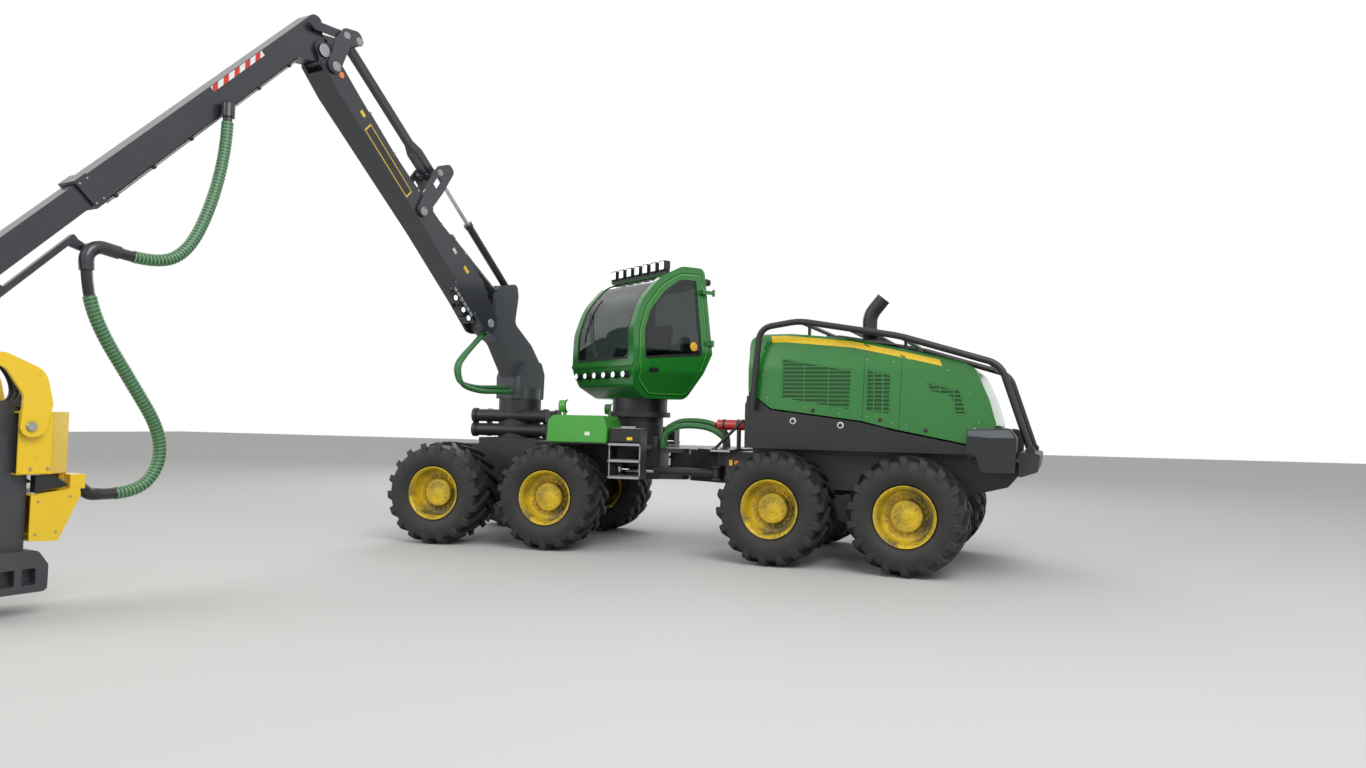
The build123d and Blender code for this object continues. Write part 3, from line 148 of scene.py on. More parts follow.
patches = weather_noise(1.7, 6.0, (-500, 200))
grains = weather_noise(46.0, 3.0, (-500, 0))
flecks = weather_noise(15.0, 8.0, (-500, -200))
place_in_space = add(weathering, "ShaderNodeSeparateXYZ", (-500, -400))
weathering.links.new(coordinates.outputs["Object"], place_in_space.inputs[0])
facing = add(weathering, "ShaderNodeNewGeometry", (-500, -600))
facing_parts = add(weathering, "ShaderNodeSeparateXYZ", (-300, -600))
weathering.links.new(facing.outputs["Normal"], facing_parts.inputs[0])
low_share = math_node(weathering, "DIVIDE", place_in_space.outputs["Z"], entry.outputs["Mud Height"])
low_share = math_node(weathering, "SUBTRACT", 1.0, low_share, clamp=True)
upward = math_node(weathering, "MULTIPLY", facing_parts.outputs["Z"], 0.35, clamp=True)
dirt = math_node(weathering, "ADD", low_share, upward)
dirt = math_node(weathering, "ADD", dirt, 0.18)
patchy = math_node(weathering, "MULTIPLY_ADD", patches, 2.6)
weathering.nodes[-1].inputs[2].default_value = -0.85
dirt = math_node(weathering, "MULTIPLY", dirt, patchy, clamp=True)
fleck_mask = math_node(weathering, "GREATER_THAN", flecks, 0.63)
fleck_mask = math_node(weathering, "MULTIPLY", fleck_mask, 0.5)
dirt = math_node(weathering, "ADD", dirt, fleck_mask, clamp=True)
dirt = math_node(weathering, "MULTIPLY", dirt, entry.outputs["Amount"], clamp=True)
toned = math_node(weathering, "MULTIPLY_ADD", patches, 0.30)
weathering.nodes[-1].inputs[2].default_value = 0.85
tone_colour = add(weathering, "ShaderNodeCombineColor", (100, 300))
for channel in ("Red", "Green", "Blue"):
    weathering.links.new(toned, tone_colour.inputs[channel])
clean = blend_colour(weathering, 1.0, entry.outputs["Clean"], tone_colour.outputs[0], "MULTIPLY")
weathering.links.new(blend_colour(weathering, dirt, clean, entry.outputs["Dirt"]), leave.inputs["Color"])
rough = math_node(weathering, "MULTIPLY_ADD", grains, 0.12)
weathering.nodes[-1].inputs[2].default_value = -0.06
rough = math_node(weathering, "ADD", rough, entry.outputs["Smooth"])
dusty_rough = math_node(weathering, "MULTIPLY", dirt, 0.35)
weathering.links.new(math_node(weathering, "ADD", rough, dusty_rough, clamp=True), leave.inputs["Roughness"])
height = math_node(weathering, "MULTIPLY", grains, 0.35)
height = math_node(weathering, "ADD", height, dirt)
weathering.links.new(height, leave.inputs["Height"])


def weathered(name, colour, roughness, metallic=0.0, amount=0.5, mud=1.3, scale=1.0, bump=0.04,
              coat=0.0, dirt_colour=(0.19, 0.15, 0.10)):
    """A material whose colour, roughness and bump come from the weathering group."""
    material = bpy.data.materials.new(name)
    material.use_nodes = True
    tree = material.node_tree
    shader = tree.nodes["Principled BSDF"]
    shader.inputs["Metallic"].default_value = metallic
    shader.inputs["Coat Weight"].default_value = coat
    shader.inputs["Coat Roughness"].default_value = 0.12
    group = add(tree, "ShaderNodeGroup", (-500, 0))
    group.node_tree = weathering
    group.inputs["Clean"].default_value = (*colour, 1)
    group.inputs["Dirt"].default_value = (*dirt_colour, 1)
    group.inputs["Amount"].default_value = amount
    group.inputs["Mud Height"].default_value = mud
    group.inputs["Scale"].default_value = scale
    group.inputs["Smooth"].default_value = roughness
    tree.links.new(group.outputs["Color"], shader.inputs["Base Color"])
    tree.links.new(group.outputs["Roughness"], shader.inputs["Roughness"])
    relief = add(tree, "ShaderNodeBump", (-250, -300), Strength=bump * 4, Distance=0.002)
    tree.links.new(group.outputs["Height"], relief.inputs["Height"])
    tree.links.new(relief.outputs["Normal"], shader.inputs["Normal"])
    return material


dark_dirt = (0.085, 0.072, 0.055)
green_paint = weathered("green_paint", (0.009, 0.165, 0.018), 0.20, amount=0.20, coat=0.5)
light_green_paint = weathered("light_green_paint", (0.050, 0.33, 0.035), 0.24, amount=0.22, coat=0.4)
yellow_paint = weathered("yellow_paint", (0.86, 0.57, 0.008), 0.26, amount=0.30, mud=0.9, coat=0.3)
dark_paint = weathered("dark_paint", (0.020, 0.023, 0.030), 0.30, metallic=0.1, amount=0.30, coat=0.35, dirt_colour=dark_dirt)
grey_paint = weathered("grey_paint", (0.052, 0.057, 0.066), 0.36, metallic=0.15, amount=0.40, dirt_colour=dark_dirt)
frame_paint = weathered("frame_paint", (0.013, 0.014, 0.016), 0.42, metallic=0.1, amount=0.60, mud=1.6, dirt_colour=dark_dirt)
light_grey_paint = weathered("light_grey_paint", (0.34, 0.36, 0.38), 0.38, metallic=0.2, amount=0.5)
black_plastic = weathered("black_plastic", (0.010, 0.011, 0.012), 0.40, amount=0.22, bump=0.07, dirt_colour=dark_dirt)
bare_steel = weathered("bare_steel", (0.42, 0.42, 0.41), 0.34, metallic=0.9, amount=0.35)
chromed_rod = weathered("chromed_rod", (0.72, 0.73, 0.75), 0.10, metallic=1.0, amount=0.08)
red_paint = weathered("red_paint", (0.50, 0.014, 0.012), 0.24, amount=0.25, coat=0.5)
tyre_rubber = weathered("tyre_rubber", (0.008, 0.008, 0.009), 0.56, amount=0.26, mud=1.4, scale=2.0, bump=0.12,
                        dirt_colour=(0.050, 0.044, 0.036))
hose_rubber = weathered("hose_rubber", (0.011, 0.011, 0.012), 0.38, amount=0.2, bump=0.05, dirt_colour=dark_dirt)

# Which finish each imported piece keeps
finishes = (
    (green_paint, "hood_panels", "cab_shell", "cab_door", "hood_grilles"),
    (light_green_paint, "front_covers"),
    (yellow_paint, "head_covers", "head_hanger"),
    (dark_paint, "main_boom", "jib", "jib_extension", "lift_barrel", "jib_barrel", "knee_bar", "knee_link", "tip_link",
     "feed_arm_left", "feed_arm_right"),
    (grey_paint, "crane_pillar", "rocker", "knee_lever", "head_frame"),
    (frame_paint, "front_frame", "rear_frame", "front_axle", "rear_axle", "crane_base", "cab_base", "engine_block",
     "steer_barrel_left", "steer_barrel_right"),
    (frame_paint, "access_steps"),
    (black_plastic, "rear_skirts", "hood_guard", "cab_lamps", "head_hose_fitting"),
    (bare_steel, "feed_roller_left", "feed_roller_right", "knife_left", "knife_right", "saw_bar"),
    (chromed_rod, "lift_rod", "jib_rod", "steer_rod_left", "steer_rod_right"),
    (red_paint, "fire_bottle"),
    (black_plastic, "cab_interior"),
)
for material, *names in finishes:
    for name in names:
        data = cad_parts[name].data
        data.materials.clear()
        data.materials.append(material)


# Free hoses. A bundle of hydraulic hoses in a green spiral guard hangs from the clamp on the jib
# to the elbow on the extension, and a second one from that elbow to the lug on the head's back.
# Each guard is a plastic strip wound round the hoses, so it shows as close rings, with a painted highlight along each
# strip's edge.
crane_place = machine_place @ Matrix.Translation((0.2, 0, 0)) @ Matrix.Rotation(math.radians(75), 4, "Z")
hose_side = 0.175
hose_diameter = 0.110
hose_upper_route = [(4.862, 4.522), (4.862, 4.220), (4.987, 3.630), (5.195, 3.141), (5.489, 2.971), (5.825, 3.018)]
hose_lower_route = [
    (6.085, 2.824), (6.068, 2.630), (5.949, 2.319), (5.672, 1.905), (5.381, 1.458), (5.381, 1.123), (5.596, 0.908),
    (5.899, 0.925),
]


def hose_material(name, start_black, end_black, length):
    """Green guard with a painted highlight on the strip edges, and bare black hoses at one end where the guard stops.
    """
    material = bpy.data.materials.new(name)
    material.use_nodes = True
    tree = material.node_tree
    shader = tree.nodes["Principled BSDF"]
    shader.inputs["Coat Weight"].default_value = 0.2
    along = add(tree, "ShaderNodeAttribute", (-900, 0), attribute_name="along", attribute_type="GEOMETRY")
    turns = add(tree, "ShaderNodeAttribute", (-900, -200), attribute_name="turns", attribute_type="GEOMETRY")
    wave = math_node(tree, "FRACT", turns.outputs["Fac"])
    # Painted highlight: the last fifth of each turn, the strip's edge, is blended towards pale green.
    edge = math_node(tree, "GREATER_THAN", wave, 0.80)
    noise = add(tree, "ShaderNodeTexNoise", (-900, -400), Scale=38.0, Detail=5.0)
    greens = blend_colour(tree, noise.outputs["Fac"], (0.010, 0.070, 0.020), (0.040, 0.200, 0.060))
    banded = blend_colour(tree, math_node(tree, "MULTIPLY", edge, 0.55), greens, (0.42, 0.52, 0.40))
    before = math_node(tree, "LESS_THAN", along.outputs["Fac"], start_black)
    after = math_node(tree, "GREATER_THAN", along.outputs["Fac"], length - end_black)
    bare = math_node(tree, "ADD", before, after, clamp=True)
    tree.links.new(blend_colour(tree, bare, banded, (0.014, 0.014, 0.015)), shader.inputs["Base Color"])
    rough_value = math_node(tree, "MULTIPLY_ADD", noise.outputs["Fac"], 0.3)
    tree.nodes[-1].inputs[2].default_value = 0.22
    tree.links.new(rough_value, shader.inputs["Roughness"])
    return material


def hang_hose(name, node, body, route, start_black, end_black):
    """A wound guard tube that follows the hose's own smooth line."""
    places = [crane_place @ Vector((r, hose_side, z)) for r, z in route]
    curve = bpy.data.curves.new(name + "_line", "CURVE")
    curve.dimensions = "3D"
    spline = curve.splines.new("NURBS")
    spline.points.add(len(places) - 1)
    for point, place in zip(spline.points, places):
        point.co = (*place, 1)
    spline.order_u = 3
    spline.use_endpoint_u = True
    spline.resolution_u = 24
    line = bpy.data.objects.new(name + "_line", curve)
    bpy.context.scene.collection.objects.link(line)
    bpy.context.view_layer.update()
    sampled = bpy.data.meshes.new_from_object(line)
    path = [v.co.copy() for v in sampled.vertices]
    bpy.data.objects.remove(line)
    bpy.data.meshes.remove(sampled)
    reach = [0.0]
    for a, b in zip(path, path[1:]):
        reach.append(reach[-1] + (b - a).length)
    length = reach[-1]
    side = crane_place.to_3x3() @ Vector((0, 1, 0))
    pitch, sides, per_turn = 0.034, 20, 6
    rings = int(length / pitch * per_turn)
    bm = bmesh.new()
    along_layer = bm.verts.layers.float.new("along")
    turns_layer = bm.verts.layers.float.new("turns")
    previous = None
    segment = 0
    for i in range(rings + 1):
        s = length * i / rings
        while segment < len(path) - 2 and reach[segment + 1] < s:
            segment += 1
        t = (s - reach[segment]) / (reach[segment + 1] - reach[segment])
        centre = path[segment].lerp(path[segment + 1], t)
        ahead = path[min(segment + 2, len(path) - 1)] - path[max(segment - 1, 0)]
        normal = ahead.normalized().cross(side)
        ring = []
        for k in range(sides):
            angle = 2 * math.pi * k / sides
            turns = s / pitch + k / sides
            groove = abs((turns % 1.0) - 0.5) * 2
            guarded = start_black < s < length - end_black
            radius = hose_diameter / 2 - (0.0045 * groove ** 3 if guarded else 0.006 + 0.006 * abs(math.sin(2 * angle)))
            vertex = bm.verts.new(centre + (normal * math.cos(angle) + side * math.sin(angle)) * radius)
            vertex[along_layer] = s
            vertex[turns_layer] = turns if k else s / pitch
            ring.append(vertex)
        if previous:
            for k in range(sides):
                bm.faces.new((previous[k], previous[(k + 1) % sides], ring[(k + 1) % sides], ring[k]))
        else:
            bm.faces.new(ring)
        previous = ring
    bm.faces.new(list(reversed(previous)))
    bmesh.ops.recalc_face_normals(bm, faces=bm.faces)
    mesh = bpy.data.meshes.new(name)
    bm.to_mesh(mesh)
    bm.free()
    for polygon in mesh.polygons:
        polygon.use_smooth = True
    mesh.materials.append(hose_material(name + "_guard", start_black, end_black, length))
    tube = bpy.data.objects.new(name, mesh)
    bpy.context.scene.collection.objects.link(tube)
    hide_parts(node)
    return tube


upper_hose = hang_hose("upper_hose", "hose_upper", "jib", hose_upper_route,
                       0.05, 0.12)
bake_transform(upper_hose)
lower_hose = hang_hose("lower_hose", "hose_lower", "head", hose_lower_route,
                       0.22, 0.14)
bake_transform(lower_hose)


# Tyres. Wide forestry tyres with heavy chevron lugs that wrap over the shoulder, moulded black
# rubber with dried mud between the lugs.
def new_piece(name, bm, material, place, body, nodes=(), smooth=True, angle=35):
    """A mesh from bmesh, placed in the machine's frame and riding on a body, if one is named."""
    bmesh.ops.recalc_face_normals(bm, faces=bm.faces)
    mesh = bpy.data.meshes.new(name)
    bm.to_mesh(mesh)
    bm.free()
    if smooth:
        mesh.shade_smooth()
        mesh.set_sharp_from_angle(angle=math.radians(angle))
    mesh.materials.append(material)
    obj = bpy.data.objects.new(name, mesh)
    bpy.context.scene.collection.objects.link(obj)
    obj.matrix_world = place
    if body:
        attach(obj, body)
    if nodes:
        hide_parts(*nodes)
    return obj


def revolve_y(bm, profile, steps):
    """Rings round the Y axis from (y, radius) rows, joined by quads."""
    rows = []
    for y, r in profile:
        if r < 1e-5:
            rows.append([bm.verts.new((0, y, 0))])
        else:
            rows.append([bm.verts.new((r * math.cos(2 * math.pi * k / steps), y, r * math.sin(2 * math.pi * k / steps)))
                         for k in range(steps)])
    for a, b in zip(rows, rows[1:]):
        for k in range(steps):
            j = (k + 1) % steps
            corners = [a[k % len(a)], a[j % len(a)], b[j % len(b)], b[k % len(b)]]
            unique = []
            for corner in corners:
                if corner not in unique:
                    unique.append(corner)
            if len(unique) > 2:
                bm.faces.new(unique)
    return rows


def tyre_shape():
    bm = bmesh.new()
    profile = [
        (-0.300, 0.352), (-0.318, 0.368), (-0.322, 0.384), (-0.338, 0.410), (-0.347, 0.470), (-0.345, 0.535),
        (-0.330, 0.580), (-0.300, 0.604), (-0.200, 0.614), (0.0, 0.618), (0.200, 0.614), (0.300, 0.604),
        (0.330, 0.580), (0.345, 0.535), (0.347, 0.470), (0.338, 0.410), (0.322, 0.384), (0.318, 0.368), (0.300, 0.352),
        (0.150, 0.347), (-0.150, 0.347), (-0.300, 0.352),
    ]
    revolve_y(bm, profile, 96)
    bmesh.ops.remove_doubles(bm, verts=bm.verts, dist=1e-5)
    lugs = 18
    # y, lean in degrees, half width in metres, foot radius, top radius
    stations = (
        (0.012, 0.0, 0.026, 0.600, 0.6640), (0.080, 4.6, 0.027, 0.600, 0.6655), (0.165, 9.6, 0.029, 0.598, 0.6655),
        (0.245, 13.6, 0.033, 0.592, 0.6640), (0.305, 16.0, 0.038, 0.575, 0.6560), (0.338, 17.0, 0.040, 0.555, 0.6280),
        (0.3495, 17.6, 0.038, 0.520, 0.5850), (0.3480, 17.8, 0.030, 0.500, 0.5300),
    )
    for lug in range(lugs):
        for side, phase in ((1, 0.0), (-1, 0.5)):
            base = 360 / lugs * (lug + phase)
            previous = None
            for y, lean, half, low, high in stations:
                section = []
                for r, spread in ((low, 1.25), (high, 1.0), (high, -1.0), (low, -1.25)):
                    angle = math.radians(base + lean) + spread * half / 0.63
                    section.append(bm.verts.new((r * math.cos(angle), side * y, r * math.sin(angle))))
                if previous:
                    for k in range(3):
                        bm.faces.new((previous[k], previous[k + 1], section[k + 1], section[k]))
                    bm.faces.new((previous[3], previous[0], section[0], section[3]))
                else:
                    bm.faces.new(section)
                previous = section
            bm.faces.new(list(reversed(previous)))
    return bm


def rim_shape():
    bm = bmesh.new()
    # outside face of the dished rim and the wheel hub, y outwards
    profile = [
        (-0.305, 0.330), (-0.312, 0.344), (-0.300, 0.346), (-0.290, 0.322), (-0.100, 0.312), (0.080, 0.312),
        (0.262, 0.320), (0.285, 0.326), (0.300, 0.344), (0.312, 0.3445), (0.310, 0.332), (0.292, 0.312), (0.262, 0.300),
        (0.135, 0.292), (0.112, 0.280), (0.104, 0.262), (0.098, 0.236), (0.092, 0.205), (0.092, 0.188), (0.158, 0.178),
        (0.166, 0.170), (0.170, 0.150), (0.172, 0.092), (0.178, 0.086), (0.180, 0.050), (0.184, 0.044), (0.184, 0.0),
    ]
    revolve_y(bm, profile, 72)
    inner = [(-0.305, 0.330), (-0.290, 0.305), (0.020, 0.290), (0.040, 0.215), (0.020, 0.200), (0.020, 0.072)]
    revolve_y(bm, inner, 72)
    bmesh.ops.remove_doubles(bm, verts=bm.verts, dist=1e-5)
    for ring, count, radius, low, high in ((0.219, 20, 0.0135, 0.090, 0.122), (0.128, 12, 0.0095, 0.168, 0.1795)):
        for k in range(count):
            angle = 2 * math.pi * k / count
            spin = Matrix.Translation((ring * math.cos(angle), (low + high) / 2, ring * math.sin(angle)))
            spin = spin @ Matrix.Rotation(angle * 3, 4, "Y") @ Matrix.Rotation(math.pi / 2, 4, "X")
            bmesh.ops.create_cone(bm, cap_ends=True, segments=6, radius1=radius, radius2=radius * 0.94, depth=high - low, matrix=spin)
    return bm


rim_paint = weathered("rim_paint", (0.84, 0.58, 0.008), 0.30, amount=0.95, mud=1.35, scale=1.6, bump=0.08,
                      dirt_colour=(0.085, 0.070, 0.030))
tyre_mesh = None
for end in ("front", "rear"):
    for side_name in ("left", "right"):
        for position in ("fore", "aft"):
            node = f"wheel_{end}_{side_name}_{position}"
            low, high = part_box(node)
            heading = 0 if side_name == "left" else 180
            if end == "rear":
                heading -= 9.5
            spin = Matrix.Rotation(math.radians(47 * (position == "aft") + 21 * (end == "rear")), 4, "Y")
            place = Matrix.Translation((Vector(low) + Vector(high)) / 2) @ Matrix.Rotation(math.radians(heading), 4, "Z") @ spin
            tyre = new_piece("tyre" + node[5:], tyre_shape(), tyre_rubber, place, node, [node], angle=28)
            rim = new_piece("rim" + node[5:], rim_shape(), rim_paint, place, node, [node], angle=32)


# Stripe on the hood. A plain yellow band of paint runs along each shoulder of the hood, from the
# front panel to the rear one, so it lies on the sheet as a thin skin that follows its curve.
rear_place = machine_place @ Matrix.Translation((-2.2, 0, 0)) @ Matrix.Rotation(math.radians(-9.5), 4, "Z")
rear_place = rear_place @ Matrix.Translation((2.2, 0, 0))
hood_top_line = ((-3.56, 2.775), (-3.90, 2.782), (-4.74, 2.697), (-5.38, 2.556), (-6.01, 2.405))


def height_on(line, x):
    """Height of a falling line, from its (x, z) corners, at one x."""
    for (x0, z0), (x1, z1) in zip(line, line[1:]):
        if x1 <= x <= x0:
            return z0 + (z1 - z0) * (x - x0) / (x1 - x0)
    return line[-1][1]


def drop_on(node, place, start, way):
    """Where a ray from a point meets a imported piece, and the surface normal, in the place's axes."""
    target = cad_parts[node]
    to_target = target.matrix_world.inverted() @ place
    found, spot, normal, _ = target.ray_cast(to_target @ Vector(start), (to_target.to_3x3() @ Vector(way)).normalized())
    if not found:
        return None
    to_place = to_target.inverted()
    return to_place @ spot, (to_place.to_3x3() @ normal).normalized()


def skin(bm, node, place, rows, way, lift):
    """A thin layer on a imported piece: each point of each row drops on it along one way."""
    grid = []
    for row in rows:
        line = []
        for start in row:
            landing = drop_on(node, place, start, way)
            line.append(bm.verts.new(landing[0] + landing[1] * lift) if landing else None)
        grid.append(line)
    for a, b in zip(grid, grid[1:]):
        for k in range(len(a) - 1):
            corners = (a[k], a[k + 1], b[k + 1], b[k])
            if all(corners):
                bm.faces.new(corners)


bm = bmesh.new()
for side in (1, -1):
    rows = []
    for i in range(61):
        x = -3.725 - 2.04 * i / 60
        top = height_on(hood_top_line, x) - 0.030
        depth = 0.086 - 0.012 * i / 60
        rows.append([(x - 0.03 * k / 5, side * 1.4, top - depth * k / 5) for k in range(6)])
    skin(bm, "hood_panels", rear_place, rows, (0, -side, 0), 0.0016)
new_piece("hood_stripe", bm, yellow_paint, rear_place, "hood")


# Bolts and locks of the hood. Round-headed screws hold the panels round their edges, and each side
# panel has two flush black locks. They are zinc-plated steel and black plastic.
def bolt_head(bm, spot, normal, radius=0.009, height=0.006, sides=6):
    turn = Vector(normal).to_track_quat("Z", "Y").to_matrix().to_4x4()
    bmesh.ops.create_cone(bm, cap_ends=True, segments=sides, radius1=radius, radius2=radius * 0.86, depth=height,
                          matrix=Matrix.Translation(Vector(spot) + Vector(normal) * height * 0.45) @ turn)


screws, locks = bmesh.new(), bmesh.new()
for side in (1, -1):
    for x, z in ((-3.66, 2.55), (-3.66, 2.25), (-3.72, 1.98), (-4.20, 1.86), (-4.62, 1.80), (-4.94, 2.44), (-4.95, 1.77),
                 (-5.25, 2.41), (-5.24, 1.70), (-5.42, 2.44), (-5.40, 1.68), (-5.86, 2.31), (-6.10, 2.05), (-6.20, 1.72), (-5.80, 1.58)):
        landing = drop_on("hood_panels", rear_place, (x, side * 1.4, z), (0, -side, 0))
        if landing:
            bolt_head(screws, *landing)
    for x, z in ((-4.30, 1.83), (-5.10, 1.73), (-5.62, 1.62)):
        landing = drop_on("hood_panels", rear_place, (x, side * 1.4, z), (0, -side, 0))
        if landing:
            bolt_head(locks, *landing, radius=0.024, height=0.010, sides=24)
new_piece("hood_screws", screws, bare_steel, rear_place, "hood")
new_piece("hood_locks", locks, black_plastic, rear_place, "hood")


# Mesh behind the grilles. A fine woven wire screen, painted green, closes each air window behind
# its slats and keeps needles and bark out of the engine room.
def flat_plate(bm, corners, low, high, axis="Y"):
    """A plate from its outline in two axes, as thick as from low to high along the third."""
    order = {"X": lambda a, b, c: (c, a, b), "Y": lambda a, b, c: (a, c, b), "Z": lambda a, b, c: (a, b, c)}[axis]
    near = [bm.verts.new(order(a, b, low)) for a, b in corners]
    far = [bm.verts.new(order(a, b, high)) for a, b in corners]
    bm.faces.new(near)
    bm.faces.new(list(reversed(far)))
    for i in range(len(corners)):
        j = (i + 1) % len(corners)
        bm.faces.new((near[i], near[j], far[j], far[i]))


grille_screen = bpy.data.materials.new("grille_screen")
grille_screen.use_nodes = True
screen_tree = grille_screen.node_tree
screen_shader = screen_tree.nodes["Principled BSDF"]
screen_place = add(screen_tree, "ShaderNodeTexCoord", (-1100, 0))
screen_parts = add(screen_tree, "ShaderNodeSeparateXYZ", (-900, 0))
screen_tree.links.new(screen_place.outputs["Object"], screen_parts.inputs[0])
wires = []
for channel in ("X", "Z"):
    wave = math_node(screen_tree, "FRACT", math_node(screen_tree, "MULTIPLY", screen_parts.outputs[channel], 62.0))
    wires.append(math_node(screen_tree, "LESS_THAN", wave, 0.34))
wire_mask = math_node(screen_tree, "MAXIMUM", wires[0], wires[1])
# Painted shade: the gaps between the wires are near black, standing for the dark engine room behind the screen.
screen_colour = blend_colour(screen_tree, wire_mask, (0.004, 0.008, 0.005), (0.018, 0.120, 0.024))
screen_tree.links.new(screen_colour, screen_shader.inputs["Base Color"])
screen_tree.links.new(math_node(screen_tree, "MULTIPLY_ADD", wire_mask, -0.4), screen_shader.inputs["Roughness"])
screen_tree.nodes[-1].inputs[2].default_value = 0.8
grille_windows = (
    ((-3.90, 2.47), (-4.77, 2.32), (-4.75, 1.83), (-3.90, 1.96)),
    ((-4.93, 2.33), (-5.23, 2.27), (-5.22, 1.79), (-4.92, 1.81)),
    ((-5.62, 2.19), (-6.00, 2.09), (-6.08, 1.80), (-5.94, 1.80), (-5.88, 2.00), (-5.64, 2.06)),
)
bm = bmesh.new()
for corners in grille_windows:
    for y in (0.9075, -0.9095):
        flat_plate(bm, corners, y, y + 0.002)
new_piece("grille_screens", bm, grille_screen, rear_place, "hood", smooth=False)


# Marks and bands low on the rear. Two round tie-down marks with pale rims sit on each skirt, and the
# red bottle is strapped with black bands. A bright strip edges the deck behind the joint.
def smooth_path(points, steps=12):
    """A soft line through the middles of a route's runs, from its first point to its last."""
    points = [Vector(p) for p in points]
    if len(points) == 2:
        return points
    path = [points[0]]
    for i in range(1, len(points) - 1):
        first = points[0] if i == 1 else (points[i - 1] + points[i]) / 2
        last = points[-1] if i == len(points) - 2 else (points[i] + points[i + 1]) / 2
        for k in range(1, steps + 1):
            t = k / steps
            path.append(first * (1 - t) ** 2 + points[i] * 2 * t * (1 - t) + last * t * t)
    return path


def run_tube(bm, points, radius, rib=0.0, pitch=0.03, sides=14, step=0.02):
    """A hose or pipe along a route, with ribs of one pitch where it has a wound guard."""
    path = smooth_path(points)
    reach = [0.0]
    for a, b in zip(path, path[1:]):
        reach.append(reach[-1] + (b - a).length)
    spacing = pitch / 4 if rib else step
    rings = max(2, int(reach[-1] / spacing))
    normal, previous, segment = None, None, 0
    for i in range(rings + 1):
        s = reach[-1] * i / rings
        while segment < len(path) - 2 and reach[segment + 1] < s:
            segment += 1
        share = (s - reach[segment]) / max(1e-9, reach[segment + 1] - reach[segment])
        centre = path[segment].lerp(path[segment + 1], share)
        ahead = (path[min(segment + 2, len(path) - 1)] - path[max(segment - 1, 0)]).normalized()
        if normal is None:
            normal = ahead.orthogonal().normalized()
        normal = (normal - ahead * normal.dot(ahead)).normalized()
        across = ahead.cross(normal)
        thick = radius - rib * (abs(((s / pitch) % 1.0) - 0.5) * 2) ** 3
        ring = []
        for k in range(sides):
            angle = 2 * math.pi * k / sides
            ring.append(bm.verts.new(centre + (normal * math.cos(angle) + across * math.sin(angle)) * thick))
        if previous:
            for k in range(sides):
                bm.faces.new((previous[k], previous[(k + 1) % sides], ring[(k + 1) % sides], ring[k]))
        else:
            bm.faces.new(ring)
        previous = ring
    bm.faces.new(list(reversed(previous)))


pale_plastic = weathered("pale_plastic", (0.72, 0.73, 0.71), 0.42, amount=0.35)
rims_of_marks, centres = bmesh.new(), bmesh.new()
for side in (1, -1):
    for x, z in ((-4.053, 1.700), (-4.635, 1.660)):
        bolt_head(rims_of_marks, (x, side * 0.930, z), (0, side, 0), 0.040, 0.006, 28)
        bolt_head(centres, (x, side * 0.935, z), (0, side, 0), 0.026, 0.006, 24)
new_piece("skirt_mark_rims", rims_of_marks, pale_plastic, rear_place, "rear_carrier")
new_piece("skirt_mark_centres", centres, black_plastic, rear_place, "rear_carrier")
bands = bmesh.new()
for x in (-3.24, -3.05):
    bmesh.ops.create_cone(bands, cap_ends=True, segments=32, radius1=0.0725, radius2=0.0725, depth=0.034,
                          matrix=Matrix.Translation((x, 0.560, 1.640)) @ Matrix.Rotation(math.pi / 2, 4, "Y"))
bmesh.ops.create_cone(bands, cap_ends=True, segments=24, radius1=0.034, radius2=0.026, depth=0.05,
                      matrix=Matrix.Translation((-2.925, 0.560, 1.640)) @ Matrix.Rotation(math.pi / 2, 4, "Y"))
new_piece("bottle_bands", bands, black_plastic, rear_place, "rear_carrier")
bm = bmesh.new()
for x in (-3.240, -3.050):
    flat_plate(bm, ((x - 0.0155, 1.326), (x + 0.0155, 1.326), (x + 0.0155, 1.572), (x - 0.0155, 1.572)), 0.5195, 0.6005)
    flat_plate(bm, ((x - 0.040, 1.326), (x + 0.040, 1.326), (x + 0.040, 1.336), (x - 0.040, 1.336)), 0.500, 0.620)
new_piece("bottle_stand", bm, black_plastic, rear_place, "rear_carrier", smooth=False)
bm = bmesh.new()
for side in (1, -1):
    run_tube(bm, ((-3.400, side * 0.850, 1.700), (-3.020, side * 0.850, 1.330)), 0.019, sides=12, step=0.1)
    bolt_head(bm, (-3.020, side * 0.850, 1.325), (0, 0, 1), 0.040, 0.020, 20)
new_piece("panel_props", bm, black_plastic, rear_place, "rear_carrier")
bm = bmesh.new()
for side in (1, -1):
    flat_plate(bm, ((-3.24, 1.297), (-2.985, 1.297), (-2.985, 1.319), (-3.24, 1.319)), *sorted((side * 0.900, side * 0.905)))
flat_plate(bm, ((-0.62, 1.3), (0.62, 1.3), (0.62, 1.322), (-0.62, 1.322)), -2.700, -2.695, "X")
new_piece("deck_edge", bm, bare_steel, rear_place, "rear_carrier", smooth=False)
orange_lens = weathered("orange_lens", (0.85, 0.22, 0.01), 0.18, amount=0.15, coat=0.6)
bm = bmesh.new()
for side in (1, -1):
    bolt_head(bm, (-3.270, side * 0.700, 1.160), (0, side, 0), 0.034, 0.022, 24)
new_piece("side_reflectors", bm, orange_lens, rear_place, "rear_carrier")
bm = bmesh.new()
for side in (1, -1):
    flat_plate(bm, ((-3.210, 1.125), (-3.165, 1.125), (-3.165, 1.195), (-3.210, 1.195)), *sorted((side * 0.700, side * 0.703)))
new_piece("side_labels", bm, yellow_paint, rear_place, "rear_carrier", smooth=False)


